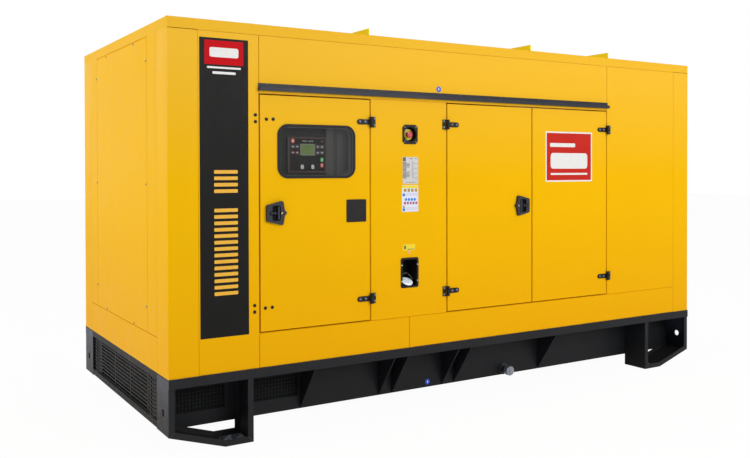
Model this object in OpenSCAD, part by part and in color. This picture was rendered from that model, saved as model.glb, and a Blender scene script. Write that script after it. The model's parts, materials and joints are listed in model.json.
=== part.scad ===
// Enclosed diesel generating set on a skid base.
// X runs along the length, Y from the door side to the far side, Z up from the floor.
// Lengths called s_... are measured along X from the left end, h_... up from the
// canopy's lower edge, and d_... inwards from the door-side face.

/* [Overall] */
// Length over the corner posts, mm
long = 4000; // [3600:10:4600]
// Width over the canopy faces, mm
wid = 1775; // [1500:5:2100]
// Canopy height above the skid, mm
canopy_h = 1840; // [1600:10:2100]
// Skid height under the canopy, mm
skid_h = 390; // [320:5:500]

/* [Skid] */
// Plate thickness of the skid, mm
plate_t = 8; // [6:1:12]
// How far the side webs sit behind the canopy face, mm
web_in = 190; // [120:5:260]
// Underside of the side webs above the floor, mm
web_z = 78; // [60:1:140]
// Height of the drop lip along the top rail, mm
rail_h = 50; // [30:2:80]
// How far the top rail stands proud of the canopy face, mm
rail_proud = 6; // [2:1:12]
// Inward flange at the foot of the side webs, mm
web_flange = 60; // [40:5:100]
// Length of a foot along the skid, mm
foot_len = 464; // [400:4:560]
// Height of a foot's outer corner above the floor, mm
foot_rise = 95; // [60:5:140]
// Length of the sloping sole from the end, mm
foot_slope = 305; // [220:5:360]
// Width of the lip around a foot's outer face, mm
foot_lip = 32; // [20:2:50]
// Radius of the towing hole in each end plate, mm
tow_r = 20; // [14:1:28]
// Towing hole from the side face, mm
tow_in = 90; // [60:5:120]
// Towing hole below the canopy, mm
tow_down = 186; // [140:2:220]

/* [Skid gussets] */
// Single gusset nearest the left foot, mm
s_gusset_a = 839; // [700:1:1000]
// First gusset pair, mm
s_pair_a = 1419; // [1200:1:1600]
// Second gusset pair, mm
s_pair_b = 1895; // [1700:1:2100]
// Single gusset nearest the right foot, from the right end, mm
gusset_b_in = 1335; // [1000:1:1600]
// Spacing inside a gusset pair, mm
pair_gap = 96; // [60:2:140]

/* [Air intakes] */
// Start of the first meshed window, mm
s_mesh_a = 100; // [60:5:160]
// Start of the second meshed window, mm
s_mesh_b = 545; // [500:5:600]
// Width of the first meshed window, mm
mesh_a_w = 275; // [250:5:380]
// Width of the second meshed window, mm
mesh_b_w = 275; // [200:5:340]
// Underside of the meshed windows above the floor, mm
mesh_z = 154; // [120:2:200]
// Top of the meshed windows below the canopy, mm
mesh_down = 46; // [20:2:100]
// Wire spacing, mm
mesh_pitch = 38; // [19:1:60]
// Wire thickness, mm
mesh_wire = 4; // [2:0.5:6]
// Sheet of the end louvres, mm
louvre_t = 4; // [3:0.5:6]
// How far the louvre sheet sits behind the end plates, mm
louvre_in = 12; // [8:1:24]
// Lower edge of the end louvres above the floor, mm
louvre_z = 100; // [80:1:130]
// Height of the plain band under the pleats, mm
band_low = 35; // [20:1:60]
// Height of the plain band over the pleats, mm
band_top = 38; // [20:1:60]
// Inward flanges of the plain bands, mm
band_lip = 50; // [30:5:80]
// Plain strip over the first slot row, mm
louvre_down = 4; // [3:1:12]
// Least plain strip under the last slot row, mm
louvre_foot = 6; // [4:1:12]
// Height of one louvre slot, mm
louvre_slot = 12; // [8:1:16]
// Vertical pitch of the louvre slots, mm
louvre_pitch = 21.5; // [18:0.5:28]
// Wide louvre bays
louvre_bays = 3; // [2:1:4]
// Bar left between wide bays, mm
bay_bar = 13; // [8:1:24]
// First wide bay from the door-side face, mm
bay_start = 400; // [395:1:440]
// Last wide bay from the far face, mm
bay_end = 387; // [380:1:450]
// Foot of the near ridge from the door-side face, mm
ridge_a = 205; // [200:1:210]
// Crest of the near ridge from its foot, mm
crest_a = 104; // [60:1:120]
// Width of the near ridge, mm
ridge_a_w = 184; // [140:1:190]
// Start of the far ridge past the wide bays, mm
ridge_b_gap = 15; // [8:1:18]
// Crest of the far ridge from its start, mm
crest_b = 71; // [60:1:130]
// Width of the far ridge, mm
ridge_b_w = 167; // [120:1:170]
// Plain edge left on each flank of a ridge, mm
flank_edge = 9; // [6:1:14]

/* [Base tank] */
// Left end of the tank, mm
s_tank = 1300; // [1000:10:1600]
// Length of the tank, mm
tank_len = 1700; // [1200:10:2000]
// Underside of the tank above the floor, mm
tank_z = 100; // [90:2:150]
// Gap between tank and webs, mm
tank_gap = 20; // [10:2:60]
// Tank coupling along the skid, mm
s_coupling = 2353; // [2000:1:2600]
// Tank coupling above the web's lower edge, mm
coupling_up = 38; // [38:1:120]
// Radius of the coupling cap, mm
coupling_r = 31; // [20:1:34]
// Radius of the coupling's flange, mm
coupling_flange_r = 37; // [35:1:50]
// Thickness of the coupling's flange, mm
coupling_flange_t = 8; // [5:1:12]
// Radius of the coupling's neck, mm
coupling_neck_r = 23; // [14:1:28]
// Length of the coupling cap, mm
coupling_cap = 34; // [20:2:40]
// Reach of the coupling from the web, mm
coupling_len = 82; // [60:2:120]
// Chamfer on the coupling cap, mm
coupling_cut = 3; // [1:0.5:5]
// First cross beam past the second meshed window, mm
beam_past = 70; // [60:5:120]
// Last cross beam from the right end, mm
beam_end_in = 350; // [250:5:450]
// Cross beams right of the meshed windows
beam_count = 4; // [3:1:5]
// Height of the cross beams, mm
beam_h = 80; // [60:5:120]
// Width of the cross beams, mm
beam_w = 70; // [50:5:100]

/* [Canopy] */
// Depth of the lined walls, mm
wall_t = 50; // [40:1:70]
// Height of the roof cap's edge, mm
cap_h = 57; // [40:1:80]
// Leg of the corner posts on the long sides, mm
post_x = 161; // [120:1:220]
// Leg of the corner posts on the ends, mm
post_y = 180; // [120:1:220]
// Height of the lower panel band, mm
sill_h = 186; // [150:1:240]
// Height of the header over the doors, mm
header_h = 311; // [260:1:380]
// Width of the panel left of the control door, mm
left_panel_w = 343; // [280:1:400]
// Width of the control doorway, mm
door_1_w = 693; // [620:1:760]
// Width of the service panel, mm
service_w = 552; // [480:1:620]
// Width of each leaf of the double doors, mm
leaf_2_w = 693; // [620:1:760]
// Joint in the lower panel band, mm
s_sill_joint = 1470; // [1400:1:1550]
// Width of the joint lines, mm
joint_w = 4; // [2:0.5:6]
// Depth of the joint lines, mm
joint_d = 5; // [3:1:8]
// First standing rib on the roof, mm
s_rib_a = 1191; // [1000:1:1400]
// Second standing rib on the roof, mm
s_rib_b = 2431; // [2200:1:2600]
// Third standing rib on the roof from the right end, mm
rib_c_in = 850; // [780:1:950]
// Height of the standing roof ribs, mm
rib_h = 38; // [20:1:60]
// Thickness of the standing roof ribs, mm
rib_t = 6; // [4:1:12]
// Drip rail depth, mm
gutter_d = 24; // [14:1:30]
// Drip rail height, mm
gutter_h = 40; // [30:1:60]
// Drip rail above the door heads, mm
gutter_up = 15; // [8:1:40]
// How far the drip rail runs past the doorways, mm
gutter_over = 8; // [0:1:40]
// Wall of the drip rail, mm
gutter_t = 4; // [2:1:6]

/* [End panels] */
// Edge of the removable panel from the side face, mm
end_panel_in = 347; // [300:1:420]
// Gap over the removable end panel, mm
end_panel_gap = 8; // [4:1:12]

/* [Roof outlet] */
// Left edge of the roof outlet from the right end, mm
outlet_in = 740; // [700:5:800]
// Length of the roof outlet, mm
outlet_len = 560; // [300:5:640]
// Width of the roof outlet, mm
outlet_w = 1300; // [900:10:1500]
// Bars in the roof outlet
outlet_bars = 12; // [6:1:16]
// Thickness of the outlet bars, mm
outlet_bar = 8; // [4:1:14]
// Depth of the outlet bars, mm
outlet_depth = 30; // [16:1:45]

/* [Doors] */
// Running gap around each door, mm
door_gap = 7; // [6:0.5:12]
// Gap between the two meeting doors, mm
meet_gap = 9; // [8:0.5:14]
// Depth of a door's outer tray, mm
tray_d = 25; // [18:1:32]
// Square cover plate from the control door's hinge side, mm
cover_in = 94; // [80:1:120]
// Width of the square cover plate, mm
cover_w = 129; // [100:1:150]
// Corner radius of the cover plate, mm
cover_r = 6; // [3:1:12]
// Thickness of the cover plate, mm
cover_t = 4; // [2:0.5:6]
// Full depth of a door with its lining, mm
door_d = 46; // [36:1:50]
// Lining set back from the tray edge, mm
lining_in = 40; // [25:1:60]

/* [Door hinges] */
// Upper hinges below the door heads, mm
hinge_top_in = 134; // [90:1:200]
// Lower hinges above the panel band, mm
hinge_low_in = 132; // [90:1:200]
// Hinge axis in front of the canopy face, mm
hinge_out = 13; // [11:0.5:18]
// Radius of the hinge knuckles, mm
knuckle_r = 9; // [7:0.5:12]
// Radius of the hinge pin, mm
pin_r = 5; // [4:0.5:7]
// Running clearance around the pin, mm
pin_play = 0.06; // [0.02:0.01:0.1]
// Overall height of the frame leaf, mm
leaf_h = 60; // [50:1:80]
// Reach of the frame leaf past the joint, mm
leaf_w = 34; // [26:1:50]
// Gap between the frame leaf and the knuckles, mm
leaf_gap = 3; // [2:0.5:6]
// Play between neighbouring knuckles, mm
knuckle_gap = 1; // [0.5:0.5:2]
// Fixed pin's end short of the knuckles' ends, mm
pin_short = 2; // [1:0.5:4]
// Height of the door strap, mm
strap_h = 30; // [22:1:36]
// Reach of the door strap, mm
strap_w = 88; // [60:1:110]
// Thickness of leaf and strap, mm
leaf_t = 6; // [4:0.5:8]

/* [Door window] */
// Width of the window gasket, mm
win_w = 487; // [400:1:560]
// Height of the window gasket, mm
win_h = 297; // [240:1:360]
// Corner radius of the gasket, mm
win_r = 62; // [30:1:90]
// Window centre from the left jamb, mm
win_from_jamb = 348; // [300:1:380]
// Window centre below the door head, mm
win_down = 308; // [240:1:360]
// Visible width of the gasket, mm
gasket_w = 15; // [10:1:24]
// How far the gasket stands proud, mm
gasket_out = 6; // [3:0.5:10]
// Glass thickness, mm
glass_t = 6; // [4:0.5:8]

/* [Latches] */
// Depth of the latch dish in front of the door, mm
dish_out = 18; // [16:1:24]
// Short side height of the latch dish, mm
dish_h1 = 88; // [84:1:100]
// Long side height of the latch dish, mm
dish_h2 = 134; // [110:1:150]
// Distance between short and long sides, mm
dish_w = 96; // [90:1:110]
// Bulge of the long side, mm
dish_bulge = 9; // [6:1:16]
// Nose at the middle of the long side, mm
dish_nose = 16; // [10:1:26]
// Height of the nose, mm
dish_nose_h = 30; // [24:1:50]
// Corner radius of the dish, mm
dish_r = 9; // [4:0.5:12]
// Dish centre below the window gasket, mm
latch_down = 187; // [150:1:240]
// Short side of the dish from the door edge, mm
latch_in = 35; // [20:1:60]
// Finger recess from the dish's short side, mm
recess_in = 30; // [28:1:36]
// Depth of the finger recess, mm
recess_d = 14; // [12:0.5:18]
// Corner radius of the finger recess, mm
recess_r = 12; // [8:1:18]
// Lever pivot from the dish's short side, mm
pivot_x = 27; // [24:1:29]
// Radius of the lever's pivot pin, mm
pivot_r = 2.5; // [2:0.25:3]
// Radius of the lever's hub, mm
hub_r = 5.5; // [4.5:0.5:7]
// Height of the lever's stem, mm
stem_h = 16; // [12:1:24]
// Reach of the lever from its pivot, mm
lever_len = 48; // [36:1:52]
// Width of the lever's grip bar, mm
grip_w = 11; // [8:1:14]
// Height of the lever's grip bar, mm
grip_h = 72; // [60:1:80]
// Thickness of the lever, mm
lever_t = 8; // [6:0.5:9]
// Clearance around the lever, mm
lever_gap = 5.5; // [5:0.5:7]
// Radius of the lock barrel, mm
barrel_r = 6; // [4:0.5:7]
// Lock barrel from the dish's long side, mm
barrel_in = 6; // [6:0.5:8]
// How far the lock barrel stands proud of the dish, mm
barrel_out = 2; // [1:0.5:4]
// Corner radius of the grip bar, mm
grip_r = 4; // [2:0.5:5]

/* [Emergency stop] */
// Housing centre from the service panel's left edge, mm
stop_from_left = 278; // [220:1:330]
// Housing centre below the door heads, mm
stop_down = 200; // [150:1:260]
// Housing width, mm
stop_w = 107; // [90:1:130]
// Housing height, mm
stop_h = 115; // [95:1:135]
// Housing flange in front of the face, mm
stop_out = 5; // [3:0.5:8]
// Chamfer on the housing corners, mm
stop_cut = 16; // [8:1:24]
// Radius of the round pocket, mm
pocket_r = 44; // [36:1:48]
// Depth of the pocket behind the face, mm
pocket_d = 26; // [22:1:42]
// Wall of the pocket, mm
pocket_t = 3; // [2:0.5:4]
// Radius of the coloured backing disc, mm
disc_r = 33; // [26:1:38]
// Thickness of the backing disc, mm
disc_t = 2; // [1:0.5:3]
// Radius of the mushroom head, mm
mush_r = 20; // [15:1:26]
// How far the mushroom head stands proud of the face, mm
mush_out = 2; // [0:0.5:8]
// Chamfer on the back of the mushroom head, mm
mush_cut = 3; // [1:0.5:5]
// Dome of the mushroom head, mm
mush_dome = 5; // [3:0.5:8]
// Depth of the mushroom head, mm
mush_t = 13; // [8:1:18]
// Radius of the button's stem, mm
stem_r = 9; // [6:0.5:12]
// Running clearance around the stem, mm
stem_play = 0.08; // [0.02:0.01:0.1]

/* [Fuel filler] */
// Recess centre from the service panel's left edge, mm
fill_from_left = 274; // [220:1:330]
// Recess centre above the panel band, mm
fill_up = 263; // [200:1:320]
// Width over the recess frame, mm
fill_w = 127; // [110:1:160]
// Height over the recess frame, mm
fill_h = 180; // [150:1:220]
// Corner radius of the recess frame, mm
fill_r = 14; // [6:1:24]
// Visible width of the recess frame, mm
fill_rim = 12; // [8:1:18]
// Depth of the recess, mm
fill_d = 110; // [80:1:140]
// Sheet of the recess, mm
fill_t = 3; // [2:0.5:5]
// Tilt of the filler neck above level, deg
neck_tilt = 58; // [30:1:66]
// Radius of the filler neck, mm
neck_r = 26; // [20:1:34]
// Length of the filler neck below the cap, mm
neck_len = 72; // [40:1:80]
// Radius of the filler cap, mm
cap_r = 37; // [28:1:44]
// Thickness of the filler cap, mm
cap_t = 14; // [8:1:20]
// Cap centre behind the face, mm
cap_in = 31; // [25:1:70]
// Cap centre below the recess centre, mm
cap_down = 57; // [20:1:60]
// Chamfer on the filler cap, mm
cap_cut = 3; // [1:0.5:5]

/* [Control cabinet] */
// Left side of the cabinet from the left jamb, mm
cab_from_jamb = 91; // [60:1:140]
// Width of the cabinet, mm
cab_w = 560; // [450:1:580]
// Underside of the cabinet, mm
cab_up = 620; // [400:1:640]
// Top of the cabinet below the door head, mm
cab_down = 42; // [20:1:120]
// Depth of the cabinet, mm
cab_d = 240; // [180:5:320]
// Width of the cabinet's legs, mm
cab_leg = 40; // [30:1:60]
// Cabinet front behind the canopy face, mm
cab_in = 72; // [66:1:100]
// Left side of the controller left of the window's centre, mm
ctrl_left = 153; // [110:1:170]
// Width of the controller, mm
ctrl_w = 246; // [180:1:260]
// Underside of the controller below the window's centre, mm
ctrl_down = 116; // [80:1:130]
// Height of the controller, mm
ctrl_h = 197; // [150:1:220]
// Corner radius of the controller, mm
ctrl_r = 6; // [3:0.5:10]
// Depth of the controller bezel, mm
ctrl_t = 12; // [8:1:16]

/* [Power unit] */
// Height of the support rails above the skid, mm
unit_rail_h = 60; // [40:5:100]
// Width of the unit's support rails, mm
rail_w = 90; // [70:5:120]
// Distance of the support rails from the middle, mm
rail_off = 290; // [240:5:340]
// Shaft height above the skid, mm
shaft_up = 500; // [450:5:540]
// Length of the alternator, mm
alt_len = 980; // [800:10:1000]
// Radius of the alternator's stator, mm
alt_r = 320; // [260:5:340]
// Radius of the alternator's end bells, mm
alt_bell_r = 270; // [230:5:300]
// Length of the alternator's tapers, mm
alt_taper = 60; // [30:5:90]
// Length of the alternator's coupling end, mm
alt_neck = 160; // [100:5:220]
// Width of the terminal box, mm
term_w = 450; // [300:5:480]
// Length of the terminal box, mm
term_len = 500; // [360:5:600]
// Top of the terminal box above the shaft, mm
term_up = 480; // [400:5:520]
// Length of the alternator's feet, mm
alt_foot = 490; // [300:5:600]
// Length of the engine block, mm
block_len = 1100; // [1000:10:1120]
// Width of the engine block, mm
block_w = 460; // [380:5:540]
// Height of the engine block above the shaft, mm
block_up = 300; // [260:5:360]
// Depth of the engine block below the shaft, mm
block_dn = 150; // [100:5:200]
// Width of the sump, mm
sump_w = 340; // [260:5:400]
// Depth of the sump below the shaft, mm
sump_dn = 400; // [340:5:420]
// Sump from the block's ends, mm
sump_in = 90; // [50:5:160]
// Cylinder heads
heads = 6; // [4:1:6]
// Length of one cylinder head, mm
head_len = 150; // [120:5:170]
// Width of the cylinder heads, mm
head_w = 330; // [260:5:400]
// Height of the cylinder heads, mm
head_up = 110; // [80:5:150]
// Space between cylinder heads, mm
head_gap = 22; // [12:1:40]
// Radius of the exhaust manifold, mm
manifold_r = 55; // [40:1:70]
// Height of the manifold above the shaft, mm
manifold_up = 250; // [200:5:300]
// Radius of the flywheel housing, mm
bell_r = 300; // [250:5:310]
// Length of the flywheel housing, mm
bell_len = 110; // [80:5:160]
// Radius of the fan hub, mm
hub_fan_r = 90; // [60:5:120]
// Gap between the fan hub and the radiator, mm
hub_gap = 60; // [30:5:100]
// Gap between the engine block and the radiator, mm
rad_clear = 140; // [100:5:180]
// Width of the radiator, mm
rad_w = 1300; // [1000:10:1350]
// Radiator below the roof, mm
rad_down = 483; // [400:5:600]
// Thickness of the radiator, mm
rad_t = 130; // [90:5:180]
// Left face of the radiator from the right end, mm
rad_in = 920; // [880:5:980]
// Depth of the pocket behind the fan ring, mm
rad_pocket = 43; // [20:1:60]
// Radius of the fan ring, mm
fan_r = 425; // [360:5:435]
// Wall of the fan ring, mm
ring_t = 20; // [10:1:30]
// Length of the fan ring, mm
ring_len = 50; // [30:5:90]
// Radius of the silencer, mm
sil_r = 170; // [130:5:200]
// Length of the silencer, mm
sil_len = 1150; // [900:10:1200]
// Silencer from the right end, mm
sil_in = 440; // [350:5:500]
// Space over the silencer under the roof, mm
sil_down = 153; // [100:1:220]
// Radius of the exhaust pipe, mm
pipe_r = 60; // [45:1:70]
// Exhaust pipe's leg left of the radiator, mm
leg_in = 200; // [120:5:300]
// Radius of the air filter, mm
filter_r = 140; // [110:5:160]
// Radius of the air filter's neck, mm
filter_neck_r = 70; // [50:5:100]
// Length of the air filter, mm
filter_len = 460; // [380:5:560]
// Chamfer on the air filter, mm
filter_cut = 15; // [5:1:25]
// Air filter from the block's left end, mm
filter_in = 220; // [100:5:300]
// Air filter from the middle towards the door side, mm
filter_off = 80; // [0:5:120]

/* [Hidden] */
$fn = 48;
// Steps of a softened corner
soft_n = 4;
roof_z = skid_h + canopy_h;
cap_z = roof_z - cap_h;
wall_h = canopy_h - cap_h;
half_joint = joint_w / 2;
rail_back = plate_t - rail_proud;
flange_z = skid_h - plate_t;
web_y = web_in;
sole_len = sqrt(pow(foot_slope, 2) + pow(foot_rise, 2));
web_cut = max(0, foot_slope * (1 - web_z / foot_rise));
flange_in = web_cut + louvre_in + louvre_t;

head_h = wall_h - header_h;
s_door_a = post_x + left_panel_w;
s_door_b = s_door_a + door_1_w;
s_door_c = s_door_b + service_w;
s_door_d = s_door_c + leaf_2_w;
s_door_e = s_door_d + leaf_2_w;
s_right = long - post_x;
hinge_hs = [sill_h + hinge_low_in, head_h - hinge_top_in];
s_win = s_door_a + win_from_jamb;
h_win = head_h - win_down;
h_latch = h_win - win_h / 2 - latch_down;
s_stop = s_door_b + stop_from_left;
h_stop = head_h - stop_down;
s_fill = s_door_b + fill_from_left;
h_fill = sill_h + fill_up;
h_cap = h_fill - cap_down;

s_gusset_b = long - gusset_b_in;
gussets = [s_gusset_a, s_pair_a - pair_gap / 2, s_pair_a + pair_gap / 2,
           s_pair_b - pair_gap / 2, s_pair_b + pair_gap / 2, s_gusset_b];
mesh_h = skid_h - mesh_down - mesh_z;
s_beam_mesh = (s_mesh_a + mesh_a_w + s_mesh_b) / 2;
s_beam_first = s_mesh_b + mesh_b_w + beam_past;
beam_pitch = (long - beam_end_in - s_beam_first) / (beam_count - 1);
beams = [s_beam_mesh, for (i = [0 : beam_count - 1]) s_beam_first + i * beam_pitch];
tank_h = flange_z - beam_h - tank_z;
coupling_z = web_z + coupling_up;

pleat_z = louvre_z + band_low;
pleat_top = skid_h - band_top;
rows_h = pleat_top - louvre_down - louvre_foot - louvre_slot - pleat_z;
louvre_rows = floor(rows_h / louvre_pitch) + 1;
bays_w = wid - bay_start - bay_end;
bay_pitch = (bays_w + bay_bar) / louvre_bays;
ridge_b = wid - bay_end + ridge_b_gap;

leaf_in = knuckle_r + leaf_gap;
arm_h = (leaf_h - strap_h) / 2 - knuckle_gap;
pin_len = leaf_h - 2 * pin_short;

cab_h = head_h - cab_down - cab_up;
s_cab = s_door_a + cab_from_jamb;
s_ctrl = s_win - ctrl_left;
h_ctrl = h_win - ctrl_down;

unit_z = skid_h + unit_rail_h;
shaft_z = skid_h + shaft_up;
s_rad = long - rad_in;
s_block = s_rad - rad_clear - block_len;
s_alt = s_block - bell_len - alt_len;
rad_h = cap_z - unit_z - rad_down;
heads_len = heads * head_len + (heads - 1) * head_gap;
head_in = (block_len - heads_len) / 2;
engine_top = shaft_z + block_up + head_up;
sil_z = cap_z - sil_down - sil_r;
s_sil = long - sil_in;
pipe_run = s_sil - s_rad + leg_in;

// Placing helpers -----------------------------------------------------------

// Local frame on the door-side face: x along, y inwards, z up.
module on_face(s, h) {
    translate([s - long / 2, -wid / 2, skid_h + h])
        children();
}

// Extrude a drawing made in x and z from depth d0 to depth d1.
module slab_y(d0, d1) {
    translate([0, d1, 0])
        rotate([90, 0, 0])
            linear_extrude(d1 - d0)
                children();
}

// Extrude a drawing made in y and z from x0 to x1.
module slab_x(x0, x1) {
    translate([x0, 0, 0])
        rotate([90, 0, 90])
            linear_extrude(x1 - x0)
                children();
}

module both_sides() {
    children();
    mirror([0, 1, 0])
        children();
}

module both_ends() {
    children();
    mirror([1, 0, 0])
        children();
}

module rounded(w, h, r) {
    square([w - 2 * r, h], center = true);
    square([w, h - 2 * r], center = true);
    for (x = [-1, 1], y = [-1, 1])
        translate([x * (w / 2 - r), y * (h / 2 - r)])
            circle(r);
}

// Corner points of an outline, softened with radius r.
function soft(pts, r) = [
    for (i = [0 : len(pts) - 1])
        let (p = pts[i],
             a = pts[(i + len(pts) - 1) % len(pts)] - p,
             b = pts[(i + 1) % len(pts)] - p,
             ua = a / norm(a),
             ub = b / norm(b),
             half = acos(ua * ub) / 2,
             mid = (ua + ub) / norm(ua + ub),
             c = p + mid * r / sin(half),
             va = p + ua * r / tan(half) - c,
             vb = p + ub * r / tan(half) - c,
             from = atan2(va[1], va[0]),
             turn = (atan2(vb[1], vb[0]) - from + 540) % 360 - 180)
            for (k = [0 : soft_n])
                c + r * [cos(from + turn * k / soft_n), sin(from + turn * k / soft_n)]];

// A lined wall panel with its outer edges stepped back to leave a joint line.
module wall_panel(s0, s1, h0, h1) {
    on_face(s0, h0) {
        translate([half_joint, 0, half_joint])
            cube([s1 - s0 - joint_w, joint_d, h1 - h0 - joint_w]);
        translate([0, joint_d, 0])
            cube([s1 - s0, wall_t - joint_d, h1 - h0]);
    }
}

// Skid ------------------------------------------------------------------------

// Section of a top rail: drop lip and flange.
module rail_section() {
    translate([-rail_proud, skid_h - rail_h])
        square([plate_t, rail_h]);
    translate([-rail_proud, flange_z])
        square([web_y + rail_proud, plate_t]);
}

module skid_top_rails() {
    color("#26272a")
        both_sides()
            translate([-long / 2, -wid / 2, 0])
                slab_x(0, long)
                    rail_section();
}

// Outline of a side web, its lower corners cut along the slope of the feet.
module web_outline() {
    z_end = max(web_z, foot_rise);
    polygon([[0, z_end], [web_cut, web_z], [long - web_cut, web_z], [long, z_end],
             [long, skid_h], [0, skid_h]]);
}

module mesh_windows() {
    for (win = [[s_mesh_a, mesh_a_w], [s_mesh_b, mesh_b_w]])
        translate([win[0], mesh_z])
            square([win[1], mesh_h]);
}

module skid_webs() {
    color("#26272a")
        both_sides()
            translate([-long / 2, -wid / 2, 0]) {
                slab_y(web_y, web_y + plate_t)
                    difference() {
                        web_outline();
                        mesh_windows();
                    }
                translate([flange_in, web_y, web_z])
                    cube([long - 2 * flange_in, web_flange, plate_t]);
            }
}

module gusset() {
    translate([-plate_t / 2, 0, 0])
        slab_x(0, plate_t)
            polygon([[rail_back, skid_h - rail_h], [rail_back, flange_z],
                     [web_y, flange_z], [web_y, web_z]]);
}

module skid_gussets() {
    color("#26272a")
        both_sides()
            for (s = gussets)
                translate([s - long / 2, -wid / 2, 0])
                    gusset();
}

// End plate of a foot, drawn in y and z, stepped round the frame behind the rail lip.
module end_plate_outline() {
    polygon([[plate_t, foot_rise], [web_y, foot_rise], [web_y, flange_z],
             [rail_back, flange_z], [rail_back, skid_h - rail_h],
             [plate_t, skid_h - rail_h]]);
}

module foot_end_plate() {
    difference() {
        slab_x(0, plate_t)
            end_plate_outline();
        translate([-1, tow_in, skid_h - tow_down])
            rotate([0, 90, 0])
                cylinder(r = tow_r, h = plate_t + 2);
    }
}

// Sloping sole, flat sole and inner post, bent from one plate.
module foot_sole() {
    z_out = foot_rise * (1 - plate_t / foot_slope);
    z_in = foot_rise + plate_t * (sole_len - foot_rise) / foot_slope;
    x_in = (plate_t * sole_len - (plate_t - foot_rise) * foot_slope) / foot_rise;
    slab_y(plate_t, web_y)
        polygon([[plate_t, z_out], [foot_slope, 0], [foot_len, 0], [foot_len, flange_z],
                 [foot_len - plate_t, flange_z], [foot_len - plate_t, plate_t],
                 [x_in, plate_t], [plate_t, z_in]]);
}

// Flat frame round the outer face of a foot, open at the top.
module foot_frame() {
    top = skid_h - rail_h;
    z_in = foot_rise + foot_lip * (sole_len - foot_rise) / foot_slope;
    x_in = (foot_lip * sole_len - (foot_lip - foot_rise) * foot_slope) / foot_rise;
    slab_y(0, plate_t)
        polygon([[0, top], [0, foot_rise], [foot_slope, 0], [foot_len, 0], [foot_len, top],
                 [foot_len - foot_lip, top], [foot_len - foot_lip, foot_lip],
                 [x_in, foot_lip], [foot_lip, z_in], [foot_lip, top]]);
}

module four_feet() {
    both_sides()
        both_ends()
            translate([-long / 2, -wid / 2, 0])
                children();
}

module foot_end_plates() {
    color("#2c2d31")
        four_feet()
            foot_end_plate();
}

module foot_soles() {
    color("#2c2d31")
        four_feet()
            foot_sole();
}

module foot_frames() {
    color("#2c2d31")
        four_feet()
            foot_frame();
}

// Section of the louvre sheet in x and y, its face shifted inwards by d.
function louvre_face(d) = [
    [louvre_in + d, web_y + plate_t], [louvre_in + d, ridge_a], [d, ridge_a + crest_a],
    [louvre_in + d, ridge_a + ridge_a_w], [louvre_in + d, ridge_b], [d, ridge_b + crest_b],
    [louvre_in + d, ridge_b + ridge_b_w], [louvre_in + d, wid - web_y - plate_t]];

module louvre_section() {
    back = louvre_face(louvre_t);
    polygon(concat(louvre_face(0), [for (i = [len(back) - 1 : -1 : 0]) back[i]]));
}

// One row of slots from y0 to y1, drawn in y and z.
module slot_between(y0, y1) {
    translate([y0, 0])
        square([y1 - y0, louvre_slot]);
}

module louvre_slots() {
    for (row = [0 : louvre_rows - 1])
        translate([0, pleat_top - louvre_down - louvre_slot - row * louvre_pitch]) {
            for (bay = [0 : louvre_bays - 1])
                slot_between(bay_start + bay * bay_pitch, bay_start + (bay + 1) * bay_pitch - bay_bar);
            slot_between(ridge_a + flank_edge, ridge_a + crest_a - flank_edge);
            slot_between(ridge_a + crest_a + flank_edge, ridge_a + ridge_a_w - flank_edge);
            slot_between(ridge_b + flank_edge, ridge_b + crest_b - flank_edge);
            slot_between(ridge_b + crest_b + flank_edge, ridge_b + ridge_b_w - flank_edge);
        }
}

// Plain band between the side webs from z0 to z1, with a flange inwards at z_lip.
module louvre_band(z0, z1, z_lip) {
    band_w = wid - 2 * (web_y + plate_t);
    translate([0, web_y + plate_t, z0])
        cube([louvre_t, band_w, z1 - z0]);
    translate([0, web_y + plate_t, z_lip])
        cube([band_lip, band_w, louvre_t]);
}

// Pleated and slotted sheet standing between a lower and an upper plain band.
module end_louvre() {
    translate([-long / 2, -wid / 2, 0]) {
        difference() {
            translate([0, 0, pleat_z])
                linear_extrude(pleat_top - pleat_z)
                    louvre_section();
            slab_x(-1, louvre_in + louvre_t + 1)
                louvre_slots();
        }
        louvre_band(louvre_z, pleat_z, pleat_z - louvre_t);
        louvre_band(pleat_top, skid_h, pleat_top);
    }
}

module skid_end_louvres() {
    color("#2a2b2e")
        both_ends()
            end_louvre();
}

// A sheet of square mesh filling a window w by h.
module mesh_sheet(w, h) {
    across = floor((w - mesh_wire) / mesh_pitch);
    up = floor((h - mesh_wire) / mesh_pitch);
    hole_w = (w - mesh_wire) / across - mesh_wire;
    hole_h = (h - mesh_wire) / up - mesh_wire;
    difference() {
        square([w, h]);
        for (i = [0 : across - 1], j = [0 : up - 1])
            translate([mesh_wire + i * (hole_w + mesh_wire), mesh_wire + j * (hole_h + mesh_wire)])
                square([hole_w, hole_h]);
    }
}

module intake_meshes() {
    color("#1d1e20")
        both_sides()
            translate([-long / 2, -wid / 2, 0])
                for (win = [[s_mesh_a, mesh_a_w], [s_mesh_b, mesh_b_w]])
                    translate([win[0] - mesh_wire, 0, mesh_z - mesh_wire])
                        slab_y(web_y + plate_t, web_y + plate_t + mesh_wire)
                            mesh_sheet(win[1] + 2 * mesh_wire, mesh_h + 2 * mesh_wire);
}

module cross_beams() {
    color("#26272a")
        for (s = beams)
            translate([s - long / 2 - beam_w / 2, 0, flange_z - beam_h])
                rotate([90, 0, 0])
                    linear_extrude(wid - 2 * (web_in + plate_t), center = true)
                        difference() {
                            square([beam_w, beam_h]);
                            translate([plate_t, plate_t])
                                square([beam_w, beam_h - 2 * plate_t]);
                        }
}

module base_tank() {
    tank_w = wid - 2 * (web_in + plate_t + web_flange + tank_gap);
    color("#2b2c2f")
        translate([s_tank - long / 2, -tank_w / 2, tank_z])
            cube([tank_len, tank_w, tank_h]);
}

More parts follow.
